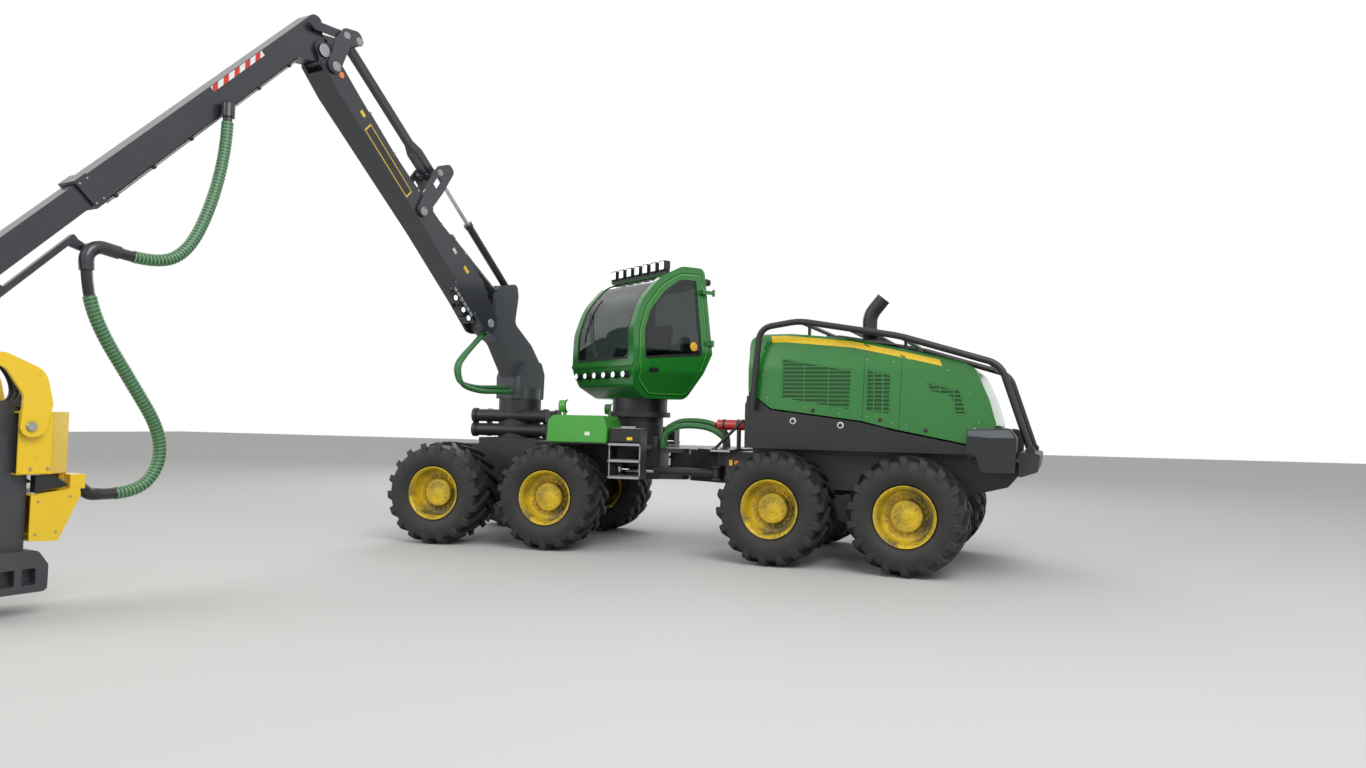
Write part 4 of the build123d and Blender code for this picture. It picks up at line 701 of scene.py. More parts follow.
# Rear corner boxes. Moulded black boxes stand outside the frame's tail, each with a lighter lid
# that slants to the front and is held by four screws.
lid_plastic = weathered("lid_plastic", (0.100, 0.108, 0.120), 0.30, amount=0.2, coat=0.3, dirt_colour=dark_dirt)
bm = bmesh.new()
lid_screws = bmesh.new()
for side in (1, -1):
    y0, y1 = sorted((side * 0.962, side * 1.222))
    flat_plate(bm, ((-6.590, 1.545), (-6.527, 1.653), (-6.515, 1.648), (-6.575, 1.538)), y0, y1)
    flat_plate(bm, ((-6.520, 1.6590), (-6.130, 1.6425), (-6.130, 1.6490), (-6.520, 1.6665)), y0, y1)
    y2, y3 = sorted((side * 1.230, side * 1.236))
    flat_plate(bm, ((-6.592, 1.560), (-6.532, 1.648), (-6.110, 1.632), (-6.100, 1.572), (-6.340, 1.556)), y2, y3)
    for x in (-6.48, -6.17):
        for y in (1.00, 1.19):
            bolt_head(lid_screws, (x, side * y, 1.665 if x < -6.3 else 1.651), (0, 0, 1), 0.010, 0.006)
new_piece("corner_box_lids", bm, lid_plastic, rear_place, "rear_carrier", smooth=False)
new_piece("corner_box_screws", lid_screws, bare_steel, rear_place, "rear_carrier")


# Window seals of the cab. Black rubber profiles and a baked black border frame each pane, laid
# along the pane's edge and following its curve.
cab_place = machine_place @ Matrix.Translation((-1.6, 0, 0)) @ Matrix.Rotation(math.radians(50), 4, "Z")
side_window = (
    (0.470, 2.480, 0.030), (0.470, 2.860, 0.400), (0.370, 3.140, 0.500), (0.120, 3.420, 0.500), (-0.130, 3.590, 0.200),
    (-0.400, 3.600, 0.030), (-0.480, 2.570, 0.030),
)
windscreen = ((-0.660, 2.470, 0.040), (-0.620, 3.610, 0.060), (0.620, 3.610, 0.060), (0.660, 2.470, 0.040))
rear_window = ((-0.560, 2.750, 0.040), (-0.540, 3.560, 0.040), (0.540, 3.560, 0.040), (0.560, 2.750, 0.040))


def rounded(rows, inset=0.0, steps=5):
    """An outline with arcs at its corners, from (across, up, radius) rows, pulled to its middle."""
    points = []
    middle = sum((Vector(row[:2]) for row in rows), Vector((0, 0))) / len(rows)
    for i, row in enumerate(rows):
        corner, before, after = Vector(row[:2]), Vector(rows[i - 1][:2]), Vector(rows[(i + 1) % len(rows)][:2])
        back, on = (before - corner).normalized(), (after - corner).normalized()
        half = back.angle(on) / 2
        reach = min(row[2] / math.tan(half), (before - corner).length * 0.49, (after - corner).length * 0.49)
        radius = reach * math.tan(half)
        centre = corner + (back + on).normalized() * (radius / math.sin(half))
        for k in range(steps + 1):
            way = (back * reach + corner - centre).lerp(on * reach + corner - centre, k / steps)
            point = centre + way.normalized() * radius
            points.append(point + (middle - point).normalized() * inset)
    return points


def fine(points, step=0.06):
    """The closed outline with extra points, so that it can follow a curved pane."""
    result = []
    for a, b in zip(points, points[1:] + points[:1]):
        parts = max(1, int((b - a).length / step))
        result += [a.lerp(b, k / parts) for k in range(parts)]
    return result


door_seal, cab_seals = bmesh.new(), bmesh.new()
for rows, node, start, way in (
    (side_window, "cab_door_glass", lambda a, b: (a, 1.5, b), (0, -1, 0)),
    (side_window, "cab_glass", lambda a, b: (a, -1.5, b), (0, 1, 0)),
    (windscreen, "cab_glass", lambda a, b: (1.5, a, b), (-1, 0, 0)),
    (rear_window, "cab_glass", lambda a, b: (-1.5, a, b), (1, 0, 0)),
):
    outer = fine(rounded(rows, 0.008))
    middle = sum(outer, Vector((0, 0))) / len(outer)
    inner = [p + (middle - p).normalized() * 0.034 for p in outer]
    loop = [[start(*p), start(*p.lerp(q, 0.5)), start(*q)] for p, q in zip(outer, inner)]
    bm = door_seal if node == "cab_door_glass" else cab_seals
    skin(bm, node, cab_place, loop + loop[:1], way, 0.0025)
new_piece("door_window_seal", door_seal, black_plastic, cab_place, "door")
new_piece("window_seals", cab_seals, black_plastic, cab_place, "cab")


# Lamps of the cab. Seven work lamps on a bar over the windscreen and six under the sill shine to
# the front. Each has a clear lens over a bright reflector in a black die-cast body.
lamp_glow = bpy.data.materials.new("lamp_glow")
lamp_glow.use_nodes = True
lamp_tree = lamp_glow.node_tree
lamp_shader = lamp_tree.nodes["Principled BSDF"]
lamp_shader.inputs["Emission Strength"].default_value = 0.9
lamp_facets = add(lamp_tree, "ShaderNodeTexVoronoi", (-500, 0), Scale=42.0)
lamp_colour = blend_colour(lamp_tree, lamp_facets.outputs["Distance"], (1.0, 1.0, 0.97), (0.55, 0.62, 0.70))
lamp_tree.links.new(lamp_colour, lamp_shader.inputs["Emission Color"])
lamp_tree.links.new(lamp_colour, lamp_shader.inputs["Base Color"])
lamp_rough = math_node(lamp_tree, "MULTIPLY", lamp_facets.outputs["Distance"], 0.5)
lamp_tree.links.new(lamp_rough, lamp_shader.inputs["Roughness"])
lenses, bezels = bmesh.new(), bmesh.new()
for k in range(7):
    y = -0.6 + 0.2 * k
    flat_plate(lenses, ((y - 0.050, 3.714), (y + 0.050, 3.714), (y + 0.050, 3.818), (y - 0.050, 3.818)), 0.1085, 0.1130, "X")
for k in range(6):
    y = -0.6 + 0.24 * k
    bolt_head(lenses, (0.688, y, 2.270), (1, 0, 0), 0.040, 0.008, 24)
    bolt_head(bezels, (0.684, y, 2.270), (1, 0, 0), 0.049, 0.006, 24)
bolt_head(lenses, (-0.652, 0.640, 3.610), (-1, 0.2, 0), 0.045, 0.012, 24)
bolt_head(bezels, (-0.628, 0.645, 3.610), (-1, 0.2, 0), 0.052, 0.050, 24)
new_piece("cab_lamp_lenses", lenses, lamp_glow, cab_place, "cab")
new_piece("cab_lamp_bezels", bezels, black_plastic, cab_place, "cab")


# Turntable sleeve. A black rubber sleeve with two clamp bands covers the ring that the cab turns on.
bm = bmesh.new()
for radius, low, high in ((0.3815, 1.794, 1.986), (0.386, 1.806, 1.822), (0.386, 1.952, 1.968)):
    bmesh.ops.create_cone(bm, cap_ends=False, segments=72, radius1=radius, radius2=radius, depth=high - low,
                          matrix=Matrix.Translation((0, 0, (low + high) / 2)))
new_piece("turntable_sleeve", bm, black_plastic, cab_place, "cab")


# Wiper, handle and round mark of the cab. A double wiper arm parks across the windscreen, the door
# has a recessed black handle, and a plain gold disc is stuck inside the door window's rear corner.
bm = bmesh.new()
for shift in (0.0, 0.045):
    arm = []
    for k in range(9):
        y, z = -0.06 - shift - 0.40 * k / 8, 2.43 + 0.73 * k / 8
        landing = drop_on("cab_glass", cab_place, (1.5, y, z), (-1, 0, 0))
        if landing:
            arm.append(landing[0] + landing[1] * 0.018)
    run_tube(bm, arm, 0.0065, sides=8)
blade = []
for k in range(7):
    landing = drop_on("cab_glass", cab_place, (1.5, -0.47 + 0.05 * k / 6, 2.74 + 0.62 * k / 6), (-1, 0, 0))
    if landing:
        blade.append(landing[0] + landing[1] * 0.008)
run_tube(bm, blade, 0.008, sides=8)
new_piece("wiper", bm, black_plastic, cab_place, "cab")
bm = bmesh.new()
landing = drop_on("cab_door", cab_place, (0.321, 1.5, 2.340), (0, -1, 0))
grip_turn = landing[1].to_track_quat("Z", "Y").to_matrix().to_4x4()
grip_place = Matrix.Translation(landing[0]) @ grip_turn
for width, depth, reach in ((0.150, 0.060, 0.004), (0.120, 0.022, 0.016)):
    made = bmesh.ops.create_cube(bm, size=1, matrix=grip_place @ Matrix.Translation((0, 0, reach / 2)) @ Matrix.Diagonal((width, depth, reach, 1)))
    edges = {e for v in made["verts"] for e in v.link_edges}
    bmesh.ops.bevel(bm, geom=list(edges), offset=0.0018, segments=2, affect="EDGES")
new_piece("door_handle", bm, black_plastic, cab_place, "door")
gold_disc = weathered("gold_disc", (0.78, 0.42, 0.03), 0.30, amount=0.2)
bm = bmesh.new()
landing = drop_on("cab_door_glass", cab_place, (-0.345, 1.5, 2.690), (0, -1, 0))
bolt_head(bm, landing[0], landing[1], 0.062, 0.002, 32)
new_piece("door_window_disc", bm, gold_disc, cab_place, "door")


# Door edge and sill highlights. A painted highlight in lighter green follows the door's pressed edge,
# and another runs as a bright strip along the windscreen sill. Both are painted the same fresh green as the cab's
# frame.
door_outline = (
    (-0.320, 2.010, 0.120), (0.310, 2.010, 0.120), (0.530, 2.190, 0.080), (0.570, 2.440, 0.020), (0.560, 2.850, 0.400),
    (0.450, 3.190, 0.600), (0.170, 3.510, 0.600), (-0.150, 3.690, 0.300), (-0.490, 3.700, 0.030), (-0.590, 2.640, 0.040),
    (-0.480, 2.360, 0.100),
)
bm = bmesh.new()
outer = fine(rounded(door_outline, 0.016))
middle = sum(outer, Vector((0, 0))) / len(outer)
loop = [[(p.x, 1.5, p.y), (p.lerp(middle, 0.012).x, 1.5, p.lerp(middle, 0.012).y), (p.lerp(middle, 0.024).x, 1.5, p.lerp(middle, 0.024).y)]
        for p in outer]
skin(bm, "cab_door", cab_place, loop + loop[:1], (0, -1, 0), 0.0022)
# Painted highlight: the lighter green line where light catches the door's pressed edge.
new_piece("door_edge_highlight", bm, light_green_paint, cab_place, "door")
bm = bmesh.new()
flat_plate(bm, ((-0.765, 2.4255), (0.765, 2.4255), (0.765, 2.4300), (-0.765, 2.4300)), 0.640, 0.667, "X")
# Painted highlight: the light green strip where light catches the windscreen sill's edge.
new_piece("sill_highlight", bm, light_green_paint, cab_place, "cab", smooth=False)


# Cab glass. Flat and curved tinted safety glass, a little dusty.
cab_glass_material = bpy.data.materials.new("cab_glass_tinted")
cab_glass_material.use_nodes = True
glass_tree = cab_glass_material.node_tree
glass_shader = glass_tree.nodes["Principled BSDF"]
glass_shader.inputs["Transmission Weight"].default_value = 1.0
glass_shader.inputs["IOR"].default_value = 1.5
glass_noise = add(glass_tree, "ShaderNodeTexNoise", (-500, 0), Scale=6.0, Detail=4.0)
glass_tint = blend_colour(glass_tree, glass_noise.outputs["Fac"], (0.13, 0.17, 0.16), (0.18, 0.22, 0.21))
glass_tree.links.new(glass_tint, glass_shader.inputs["Base Color"])
glass_rough = math_node(glass_tree, "MULTIPLY", glass_noise.outputs["Fac"], 0.05)
glass_tree.links.new(glass_rough, glass_shader.inputs["Roughness"])
for name in ("cab_glass", "cab_door_glass"):
    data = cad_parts[name].data
    data.materials.clear()
    data.materials.append(cab_glass_material)


# Front covers and steps. The box beside the cab is light green sheet with a lit work lamp and a
# blank white plate. The steps are a black moulded case with bright slotted treads and posts.
front_place = machine_place
bm, bezels = bmesh.new(), bmesh.new()
for side in (1, -1):
    bolt_head(bm, (-0.886, side * 0.960, 1.840), (-1, 0, 0), 0.076, 0.014, 32)
    bolt_head(bezels, (-0.880, side * 0.960, 1.840), (-1, 0, 0), 0.087, 0.012, 32)
new_piece("cover_lamp_lenses", bm, lamp_glow, front_place, "front_carrier")
new_piece("cover_lamp_bezels", bezels, black_plastic, front_place, "front_carrier")


def side_plate(bm, node, place, corners, sign, lift=0.002, start=1.5, across=6, up=3):
    """A blank plate on a packed side: four corners (x, z) dropped on it along Y."""
    a, b, c, d = (Vector(p) for p in corners)
    rows = []
    for i in range(across + 1):
        low, high = a.lerp(b, i / across), d.lerp(c, i / across)
        rows.append([(low.lerp(high, k / up).x, sign * start, low.lerp(high, k / up).y) for k in range(up + 1)])
    skin(bm, node, place, rows, (0, -sign, 0), lift)


bm = bmesh.new()
side_plate(bm, "front_covers", front_place, ((-1.262, 1.462), (-1.190, 1.462), (-1.190, 1.510), (-1.262, 1.510)), 1)
new_piece("cover_label", bm, pale_plastic, front_place, "front_carrier")
bm = bmesh.new()
side_plate(bm, "access_steps", front_place, ((-1.908, 1.394), (-1.522, 1.394), (-1.522, 1.556), (-1.908, 1.556)), 1, 0.003)
new_piece("step_case_skin", bm, black_plastic, front_place, "front_carrier")
bm = bmesh.new()
side_plate(bm, "access_steps", front_place, ((-1.815, 1.412), (-1.742, 1.412), (-1.742, 1.450), (-1.815, 1.450)), 1, 0.005)
new_piece("step_label", bm, yellow_paint, front_place, "front_carrier")
bm = bmesh.new()
for side in (1, -1):
    for k in range(6):
        y0, y1 = sorted((side * (0.780 + 0.048 * k), side * (0.812 + 0.048 * k)))
        flat_plate(bm, ((-1.900, y0), (-1.530, y0), (-1.530, y1), (-1.900, y1)), 1.560, 1.566, "Z")
    y0, y1 = sorted((side * 1.1100, side * 1.1145))
    for z in (0.920, 1.130, 1.340):
        flat_plate(bm, ((-1.925, z + 0.002), (-1.505, z + 0.002), (-1.505, z + 0.028), (-1.925, z + 0.028)), y0, y1)
        for k in range(9):
            x = -1.895 + 0.0425 * k
            flat_plate(bm, ((x, side * 0.80), (x + 0.026, side * 0.80), (x + 0.026, side * 1.09), (x, side * 1.09)), z + 0.030, z + 0.034, "Z")
    y0, y1 = sorted((side * 1.0700, side * 1.0745))
    for x in (-1.925, -1.519):
        flat_plate(bm, ((x, 0.952), (x + 0.014, 0.952), (x + 0.014, 1.338), (x, 1.338)), y0, y1)
    flat_plate(bm, ((-1.850, 1.5600), (-1.660, 1.5600), (-1.660, 1.5900), (-1.850, 1.5900)), *sorted((side * 1.050, side * 1.062)))
new_piece("step_treads", bm, light_grey_paint, front_place, "front_carrier", smooth=False)
screws = bmesh.new()
for side in (1, -1):
    for x, z in ((-1.42, 1.66), (-1.08, 1.68), (-0.76, 1.64), (-1.42, 1.52), (-1.08, 1.52), (-0.73, 1.52)):
        landing = drop_on("front_covers", front_place, (x, side * 1.5, z), (0, -side, 0))
        if landing and abs(landing[1].y) > 0.5:
            bolt_head(screws, *landing)
new_piece("cover_screws", screws, bare_steel, front_place, "front_carrier")


# Hoses over the joint. Two hydraulic hose bundles in ribbed green guards arch from the front frame
# to the rear one.
guard_green = bpy.data.materials.new("guard_green")
guard_green.use_nodes = True
guard_tree = guard_green.node_tree
guard_noise = add(guard_tree, "ShaderNodeTexNoise", (-600, 0), Scale=30.0, Detail=5.0)
guard_colour = blend_colour(guard_tree, guard_noise.outputs["Fac"], (0.012, 0.085, 0.022), (0.050, 0.240, 0.065))
guard_tree.links.new(guard_colour, guard_tree.nodes["Principled BSDF"].inputs["Base Color"])
guard_rough = math_node(guard_tree, "MULTIPLY_ADD", guard_noise.outputs["Fac"], 0.30)
guard_tree.nodes[-1].inputs[2].default_value = 0.25
guard_tree.links.new(guard_rough, guard_tree.nodes["Principled BSDF"].inputs["Roughness"])
joint_x = -2.2
bm = bmesh.new()
for y, low in ((0.080, 0.0), (0.190, 0.070)):
    run_tube(bm, (
        (joint_x + 0.215, y, 1.300), (joint_x + 0.215, y, 1.540 - low), (joint_x + 0.090, y, 1.630 - low),
        (joint_x - 0.060, y, 1.690 - low), (joint_x - 0.430, y + 0.060, 1.675 - low), (joint_x - 0.640, y + 0.085, 1.560 - low),
        (joint_x - 0.690, y + 0.090, 1.460 - low), (joint_x - 0.690, y + 0.090, 1.330),
    ), 0.0395, 0.006, 0.028, sides=16)
bmesh.ops.recalc_face_normals(bm, faces=bm.faces)
mesh = bpy.data.meshes.new("joint_hose_guards")
bm.to_mesh(mesh)
bm.free()
mesh.shade_smooth()
mesh.transform(machine_place)
mesh.materials.append(guard_green)
joint_guards = bpy.data.objects.new("joint_hose_guards", mesh)
bpy.context.scene.collection.objects.link(joint_guards)
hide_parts("joint_hoses")
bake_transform(joint_guards)


# Hoses at the crane's foot. Two ribbed green bundles leave the pillar's foot, turn up and enter the
# boom beside its foot pin.
bm = bmesh.new()
for y, out in ((0.055, 0.0), (-0.045, 0.060)):
    run_tube(bm, (
        (0.280, y, 2.040 + out), (0.620, y, 2.024 + out), (0.900, y, 2.012 + out), (1.170, y, 2.045 + out), (1.330 - out, y, 2.110 + out * 0.8),
        (1.380 - out, y, 2.330), (1.270 - out, y, 2.465), (1.110 - out, y, 2.615 - out * 0.3), (0.985 - out * 0.5, y, 2.720 - out * 0.6), (0.850, y, 2.835 - out),
    ), 0.0318, 0.005, 0.026, sides=16)
new_piece("crane_hose_guards", bm, guard_green, crane_place, "pillar", ["crane_hoses"], angle=80)


# Plates and lamps on the boom. A long blank plate outlined in yellow, small blank labels, a bright
# slotted plate over the lamp bracket, and an orange disc at the knee.
boom_place = crane_place @ Matrix.Translation((0.89, 0, 2.94)) @ Matrix.Rotation(math.radians(-42.93), 4, "Y")
outline, field, labels, notes = bmesh.new(), bmesh.new(), bmesh.new(), bmesh.new()
side_plate(outline, "main_boom", boom_place, ((2.095, -0.112), (3.019, -0.112), (3.019, 0.012), (2.095, 0.012)), 1, 0.0015, 0.4, 12, 2)
side_plate(field, "main_boom", boom_place, ((2.113, -0.100), (3.001, -0.100), (3.001, 0.000), (2.113, 0.000)), 1, 0.0030, 0.4, 12, 2)
side_plate(labels, "main_boom", boom_place, ((1.090, 0.092), (1.172, 0.092), (1.172, 0.138), (1.090, 0.138)), 1, 0.002, 0.4, 2, 2)
side_plate(notes, "main_boom", boom_place, ((0.770, 0.092), (0.880, 0.092), (0.880, 0.142), (0.770, 0.142)), 1, 0.002, 0.4, 2, 2)
side_plate(notes, "main_boom", boom_place, ((3.120, -0.030), (3.200, -0.030), (3.200, 0.015), (3.120, 0.015)), 1, 0.002, 0.4, 2, 2)
new_piece("boom_plate_outline", outline, yellow_paint, boom_place, "boom")
new_piece("boom_plate", field, black_plastic, boom_place, "boom")
new_piece("boom_pale_label", labels, pale_plastic, boom_place, "boom")
new_piece("boom_yellow_labels", notes, yellow_paint, boom_place, "boom")
slotted, lit, lamp_rings = bmesh.new(), bmesh.new(), bmesh.new()
for k in range(6):
    u = 0.330 + 0.082 * k
    flat_plate(slotted, ((u, -0.310), (u + 0.062, -0.310), (u + 0.062, -0.205), (u, -0.205)), 0.180, 0.184)
for u in (0.42, 0.56, 0.76):
    bolt_head(lit, (u, 0.274, -0.386), (0, 1, 0), 0.036, 0.008, 24)
    bolt_head(lamp_rings, (u, 0.271, -0.386), (0, 1, 0), 0.043, 0.008, 24)
for u in (0.318, 0.842):
    for v in (-0.290, -0.160):
        bolt_head(slotted, (u, 0.180, v), (0, 1, 0), 0.011, 0.008)
new_piece("boom_slotted_plate", slotted, light_grey_paint, boom_place, "boom", smooth=False)
new_piece("boom_lamp_lenses", lit, lamp_glow, boom_place, "boom")
new_piece("boom_lamp_rings", lamp_rings, black_plastic, boom_place, "boom")


# Pipes and hoses of the boom. Black hoses run in clips along the boom's top on both sides.
def spread(points, shifts):
    return [[(x + dx, y + dy, z + dz) for x, y, z in points] for dx, dy, dz in shifts]


pipes, clips = bmesh.new(), bmesh.new()
for side in (1, -1):
    line = []
    for k in range(15):
        u = 0.62 + 2.48 * k / 14
        landing = drop_on("main_boom", boom_place, (u, side * 0.128, 1.0), (0, 0, -1))
        if landing:
            line.append((u, side * 0.128, landing[0].z + 0.020))
    for route in spread(line, ((0, -side * 0.022, 0), (0, side * 0.016, 0))):
        run_tube(pipes, route, 0.013, sides=10, step=0.05)
    for u, y, z in line[2::3]:
        made = bmesh.ops.create_cube(clips, size=1, matrix=Matrix.Translation((u, y - side * 0.003, z)) @ Matrix.Diagonal((0.030, 0.076, 0.036, 1)))
        bmesh.ops.bevel(clips, geom=list({e for v in made["verts"] for e in v.link_edges}), offset=0.003, segments=2, affect="EDGES")
new_piece("boom_pipes", pipes, hose_rubber, boom_place, "boom")
new_piece("boom_pipe_clips", clips, light_grey_paint, boom_place, "boom")


# Pin caps and bolts of the crane. Each pin ends in a round steel cap with a ring of bolts, on
# both cheeks, and turns with the part that the pin is locked to.
def pin_cap(caps, bolts, x, z, y, radius, count, thick):
    """A cap on a pin's end at (x, z), with a ring of bolts, facing the sign of y."""
    way = (0, math.copysign(1, y), 0)
    bolt_head(caps, (x, y, z), way, radius, thick, 32)
    for k in range(count):
        angle = math.pi / 4 + 2 * math.pi * k / count
        across, up = radius * 0.68 * math.cos(angle), radius * 0.68 * math.sin(angle)
        bolt_head(bolts, (x + across, y + math.copysign(0.8 * thick, y), z + up), way, radius * 0.17, 0.8 * thick)


# body, then per pin: along, up, out, radius, bolts, thickness, flat where the knee's lever passes
for body, pins in (
    ("boom", (
        (0.0, 0.0, 0.1715, 0.062, 4, 0.010), (1.830, -0.020, 0.2145, 0.056, 4, 0.010),
        (3.729, -0.014, 0.2145, 0.056, 4, 0.010), (3.920, 0.0, 0.1705, 0.070, 6, 0.0015),
    )),
    ("rocker", ((2.010, 0.560, 0.2045, 0.045, 4, 0.010),)),
    ("knee_lever", ((3.775, 0.490, 0.2045, 0.050, 4, 0.010), (3.907, 0.368, 0.2045, 0.044, 4, 0.010))),
):
    caps, cap_bolts = bmesh.new(), bmesh.new()
    for x, z, out, radius, count, thick in pins:
        pin_cap(caps, cap_bolts, x, z, out, radius, count, thick)
        pin_cap(caps, cap_bolts, x, z, -out, radius, count, thick)
    new_piece(body + "_pin_caps", caps, light_grey_paint, boom_place, body)
    new_piece(body + "_pin_bolts", cap_bolts, bare_steel, boom_place, body)
bm = bmesh.new()
bolt_head(bm, (3.62, 0.1725, 0.02), (0, 1, 0), 0.038, 0.006, 24)
new_piece("knee_disc", bm, orange_lens, boom_place, "boom")


# Jib plate and pipes. A red and white plate marks the jib near the knee, slanting stripes on blank
# ground. Two steel pipes run under the jib in clips and feed the tip.
striped = bpy.data.materials.new("red_white_stripes")
striped.use_nodes = True
stripe_tree = striped.node_tree
stripe_place = add(stripe_tree, "ShaderNodeTexCoord", (-1100, 0))
stripe_parts = add(stripe_tree, "ShaderNodeSeparateXYZ", (-900, 0))
stripe_tree.links.new(stripe_place.outputs["Object"], stripe_parts.inputs[0])
slant = math_node(stripe_tree, "ADD", stripe_parts.outputs["X"], stripe_parts.outputs["Z"])
slant = math_node(stripe_tree, "FRACT", math_node(stripe_tree, "MULTIPLY", slant, 6.2))
red_share = math_node(stripe_tree, "GREATER_THAN", slant, 0.5)
stripe_colour = blend_colour(stripe_tree, red_share, (0.78, 0.78, 0.75), (0.60, 0.030, 0.020))
stripe_noise = add(stripe_tree, "ShaderNodeTexNoise", (-700, -300), Scale=24.0, Detail=6.0)
dull = math_node(stripe_tree, "MULTIPLY", math_node(stripe_tree, "GREATER_THAN", stripe_noise.outputs["Fac"], 0.60), 0.45)
stripe_tree.links.new(blend_colour(stripe_tree, dull, stripe_colour, (0.20, 0.17, 0.13)), stripe_tree.nodes["Principled BSDF"].inputs["Base Color"])
stripe_rough = math_node(stripe_tree, "MULTIPLY_ADD", stripe_noise.outputs["Fac"], 0.3)
stripe_tree.nodes[-1].inputs[2].default_value = 0.25
stripe_tree.links.new(stripe_rough, stripe_tree.nodes["Principled BSDF"].inputs["Roughness"])
jib_place = crane_place @ Matrix.Translation((3.7602, 0, 5.6099)) @ Matrix.Rotation(math.radians(46.5), 4, "Y")
bm = bmesh.new()
for side in (1, -1):
    side_plate(bm, "jib", jib_place, ((0.693, 0.288), (1.465, 0.288), (1.465, 0.340), (0.693, 0.340)), side, 0.002, 0.5, 8, 2)
new_piece("jib_marker_plate", bm, striped, jib_place, "jib")
jib_pipes, jib_clips = bmesh.new(), bmesh.new()
for y in (-0.055, 0.0, 0.055):
    run_tube(jib_pipes, ((0.30, y, 0.066), (0.60, y, 0.066), (1.80, y, 0.066), (3.02, y, 0.066)), 0.014, sides=10, step=0.06)
for u in (0.45, 0.95, 1.45, 1.95, 2.45, 2.92):
    made = bmesh.ops.create_cube(jib_clips, size=1, matrix=Matrix.Translation((u, 0, 0.072)) @ Matrix.Diagonal((0.034, 0.165, 0.046, 1)))
    bmesh.ops.bevel(jib_clips, geom=list({e for v in made["verts"] for e in v.link_edges}), offset=0.004, segments=2, affect="EDGES")
new_piece("jib_pipes", jib_pipes, bare_steel, jib_place, "jib")
new_piece("jib_pipe_clips", jib_clips, black_plastic, jib_place, "jib")
bm = bmesh.new()
for side in (1, -1):
    for u in (3.055, 3.135):
        for v in (0.12, 0.32):
            bolt_head(bm, (u, side * 0.124, v), (0, side, 0), 0.011, 0.008)
    bolt_head(bm, (0.0, side * 0.113, 0.0), (0, side, 0), 0.020, 0.010)
new_piece("jib_collar_bolts", bm, bare_steel, jib_place, "jib")


# Hoses of the head. Black hydraulic hoses leave the rotator, arch over the hanger between its two
# yellow legs and go down into the head behind the upper cover. A clamp ties them near the top.
head_place = crane_place @ Matrix.Translation((6.8996, 0, 0))
arches, ties = bmesh.new(), bmesh.new()
for k in range(5):
    y = -0.150 + 0.075 * k
    lift = 0.012 * (2 - abs(k - 2))
    run_tube(arches, (
        (0.070, y * 0.8, 2.060), (0.020, y * 0.8, 2.100 + lift * 0.2), (-0.160, y, 2.075 + lift), (-0.345, y, 2.020 + lift),
        (-0.430, y, 1.900 + lift), (-0.470, y * 1.1, 1.780), (-0.440, y * 1.1, 1.690), (-0.360, y * 1.1, 1.640),
    ), 0.021, sides=14)
for x, z in ((-0.100, 2.075),):
    made = bmesh.ops.create_cube(ties, size=1, matrix=Matrix.Translation((x, 0, z)) @ Matrix.Rotation(math.radians(-8), 4, "Y") @ Matrix.Diagonal((0.045, 0.380, 0.085, 1)))
    bmesh.ops.bevel(ties, geom=list({e for v in made["verts"] for e in v.link_edges}), offset=0.008, segments=2, affect="EDGES")
hanger_hoses = new_piece("hanger_hoses", arches, hose_rubber, head_place, None)
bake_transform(hanger_hoses)
new_piece("hanger_hose_clamp", ties, bare_steel, head_place, "hanger")


# Fittings of the head. Bolts hold the covers, black rubber fills the step between the upper and
# lower cover, and black and bright hose ends leave the yellow lug at the back.
bolts = bmesh.new()
for side in (1, -1):
    for x, z in ((-0.395, 1.560), (-0.470, 1.570), (-0.520, 1.165), (-0.395, 1.165)):
        landing = drop_on("head_covers", head_place, (x, side * 0.6, z), (0, -side, 0))
        if landing:
            bolt_head(bolts, *landing, radius=0.015, height=0.009)
    for x, z in ((-0.480, 0.900), (-0.720, 0.930), (-0.470, 0.640), (-0.620, 0.650)):
        landing = drop_on("head_covers", head_place, (x, side * 0.6, z), (0, -side, 0))
        if landing:
            bolt_head(bolts, *landing, radius=0.011, height=0.007)
    bolt_head(bolts, (-0.360, side * 0.3885, 1.500), (0, side, 0), 0.040, 0.010, 24)
new_piece("head_cover_bolts", bolts, bare_steel, head_place, "head")
bm = bmesh.new()
for side in (1, -1):
    y0, y1 = sorted((side * 0.240, side * 0.316))
    flat_plate(bm, ((-0.440, 1.112), (-0.575, 1.112), (-0.690, 1.020), (-0.560, 1.002), (-0.440, 0.975)), y0, y1)
new_piece("head_rubber_fill", bm, black_plastic, head_place, "head", smooth=False)
folds = bmesh.new()
for side in (1, -1):
    for x0, x1, z0, z1 in ((-0.520, -0.310, 1.128, 1.142), (-0.520, -0.310, 1.598, 1.612)):
        y0, y1 = sorted((side * 0.322, side * 0.334))
        flat_plate(folds, ((x0, z0), (x1, z0), (x1, z1), (x0, z1)), y0, y1)
new_piece("head_cover_folds", folds, yellow_paint, head_place, "head", smooth=False)
ends, collars = bmesh.new(), bmesh.new()
for k, (y, drop) in enumerate(((0.085, 0.0), (0.130, 0.010), (0.085, 0.075))):
    run_tube(ends, ((-0.800, y, 1.060 - drop), (-0.700, y, 1.060 - drop), (-0.620, y, 1.040 - drop), (-0.560, y, 1.000 - drop)), 0.018, sides=12)
    run_tube(collars, ((-0.745, y, 1.060 - drop), (-0.715, y, 1.060 - drop)), 0.025, sides=12)
new_piece("head_hose_ends", ends, hose_rubber, head_place, "head")
new_piece("head_hose_collars", collars, bare_steel, head_place, "head")


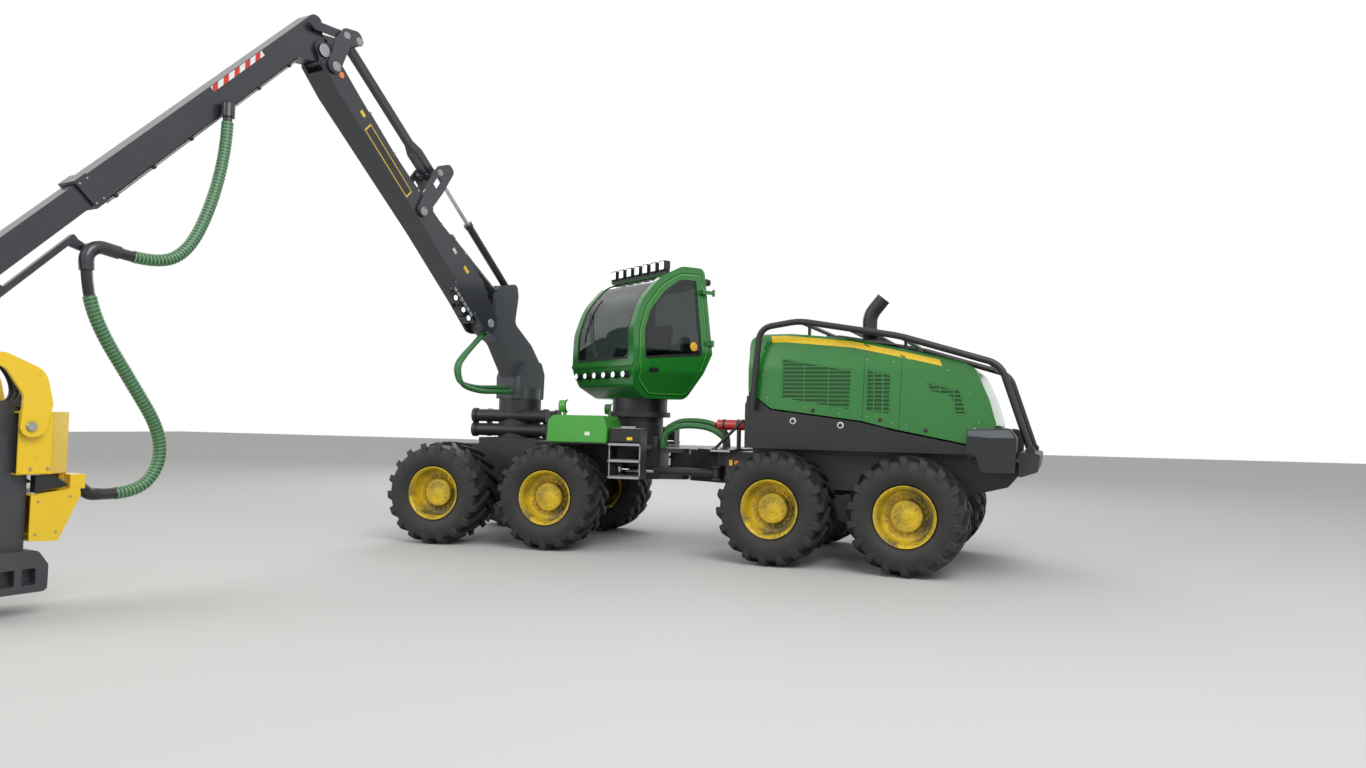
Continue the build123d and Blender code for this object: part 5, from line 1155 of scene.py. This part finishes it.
# Floor, backdrop and light. A plain pale floor, a white backdrop and large soft lamps.
floor_data = bpy.data.meshes.new("studio_floor")
floor_data.from_pydata([(-60, -60, 0), (60, -60, 0), (60, 60, 0), (-60, 60, 0)], [], [(0, 1, 2, 3)])
floor = bpy.data.objects.new("studio_floor", floor_data)
bpy.context.scene.collection.objects.link(floor)
floor_material = bpy.data.materials.new("pale_floor")
floor_material.use_nodes = True
floor_shader = floor_material.node_tree.nodes["Principled BSDF"]
floor_shader.inputs["Roughness"].default_value = 0.8
floor_noise = add(floor_material.node_tree, "ShaderNodeTexNoise", (-500, 0), Scale=0.6, Detail=3.0)
floor_colour = blend_colour(floor_material.node_tree, floor_noise.outputs["Fac"], (0.50, 0.50, 0.49), (0.55, 0.55, 0.54))
floor_material.node_tree.links.new(floor_colour, floor_shader.inputs["Base Color"])
floor_data.materials.append(floor_material)

bpy.context.scene.view_settings.view_transform = "Standard"
world = bpy.data.worlds.new("studio_world")
bpy.context.scene.world = world
world.use_nodes = True
world_tree = world.node_tree
background = world_tree.nodes["Background"]
background.inputs["Color"].default_value = (1, 1, 1, 1)
rays = add(world_tree, "ShaderNodeLightPath", (-800, 0))
seen = math_node(world_tree, "MAXIMUM", rays.outputs["Is Camera Ray"], rays.outputs["Is Transmission Ray"])
seen = math_node(world_tree, "MAXIMUM", seen, rays.outputs["Is Glossy Ray"])
strength = math_node(world_tree, "MULTIPLY_ADD", seen, 0.42)
world_tree.nodes[-1].inputs[2].default_value = 0.58
world_tree.links.new(strength, background.inputs["Strength"])
for name, energy, size, where in (
    ("key_lamp", 1500, 9, (-9, 11, 12)), ("fill_lamp", 800, 10, (9, 12, 8)), ("back_lamp", 900, 10, (2, -13, 11)),
):
    lamp_data = bpy.data.lights.new(name, "AREA")
    lamp_data.energy = energy
    lamp_data.size = size
    lamp = bpy.data.objects.new(name, lamp_data)
    bpy.context.scene.collection.objects.link(lamp)
    lamp.location = ground_middle + Vector(where)
    aim = (ground_middle + Vector((-1.5, 1.0, 2.0))) - lamp.location
    lamp.rotation_euler = aim.to_track_quat("-Z", "Y").to_euler()
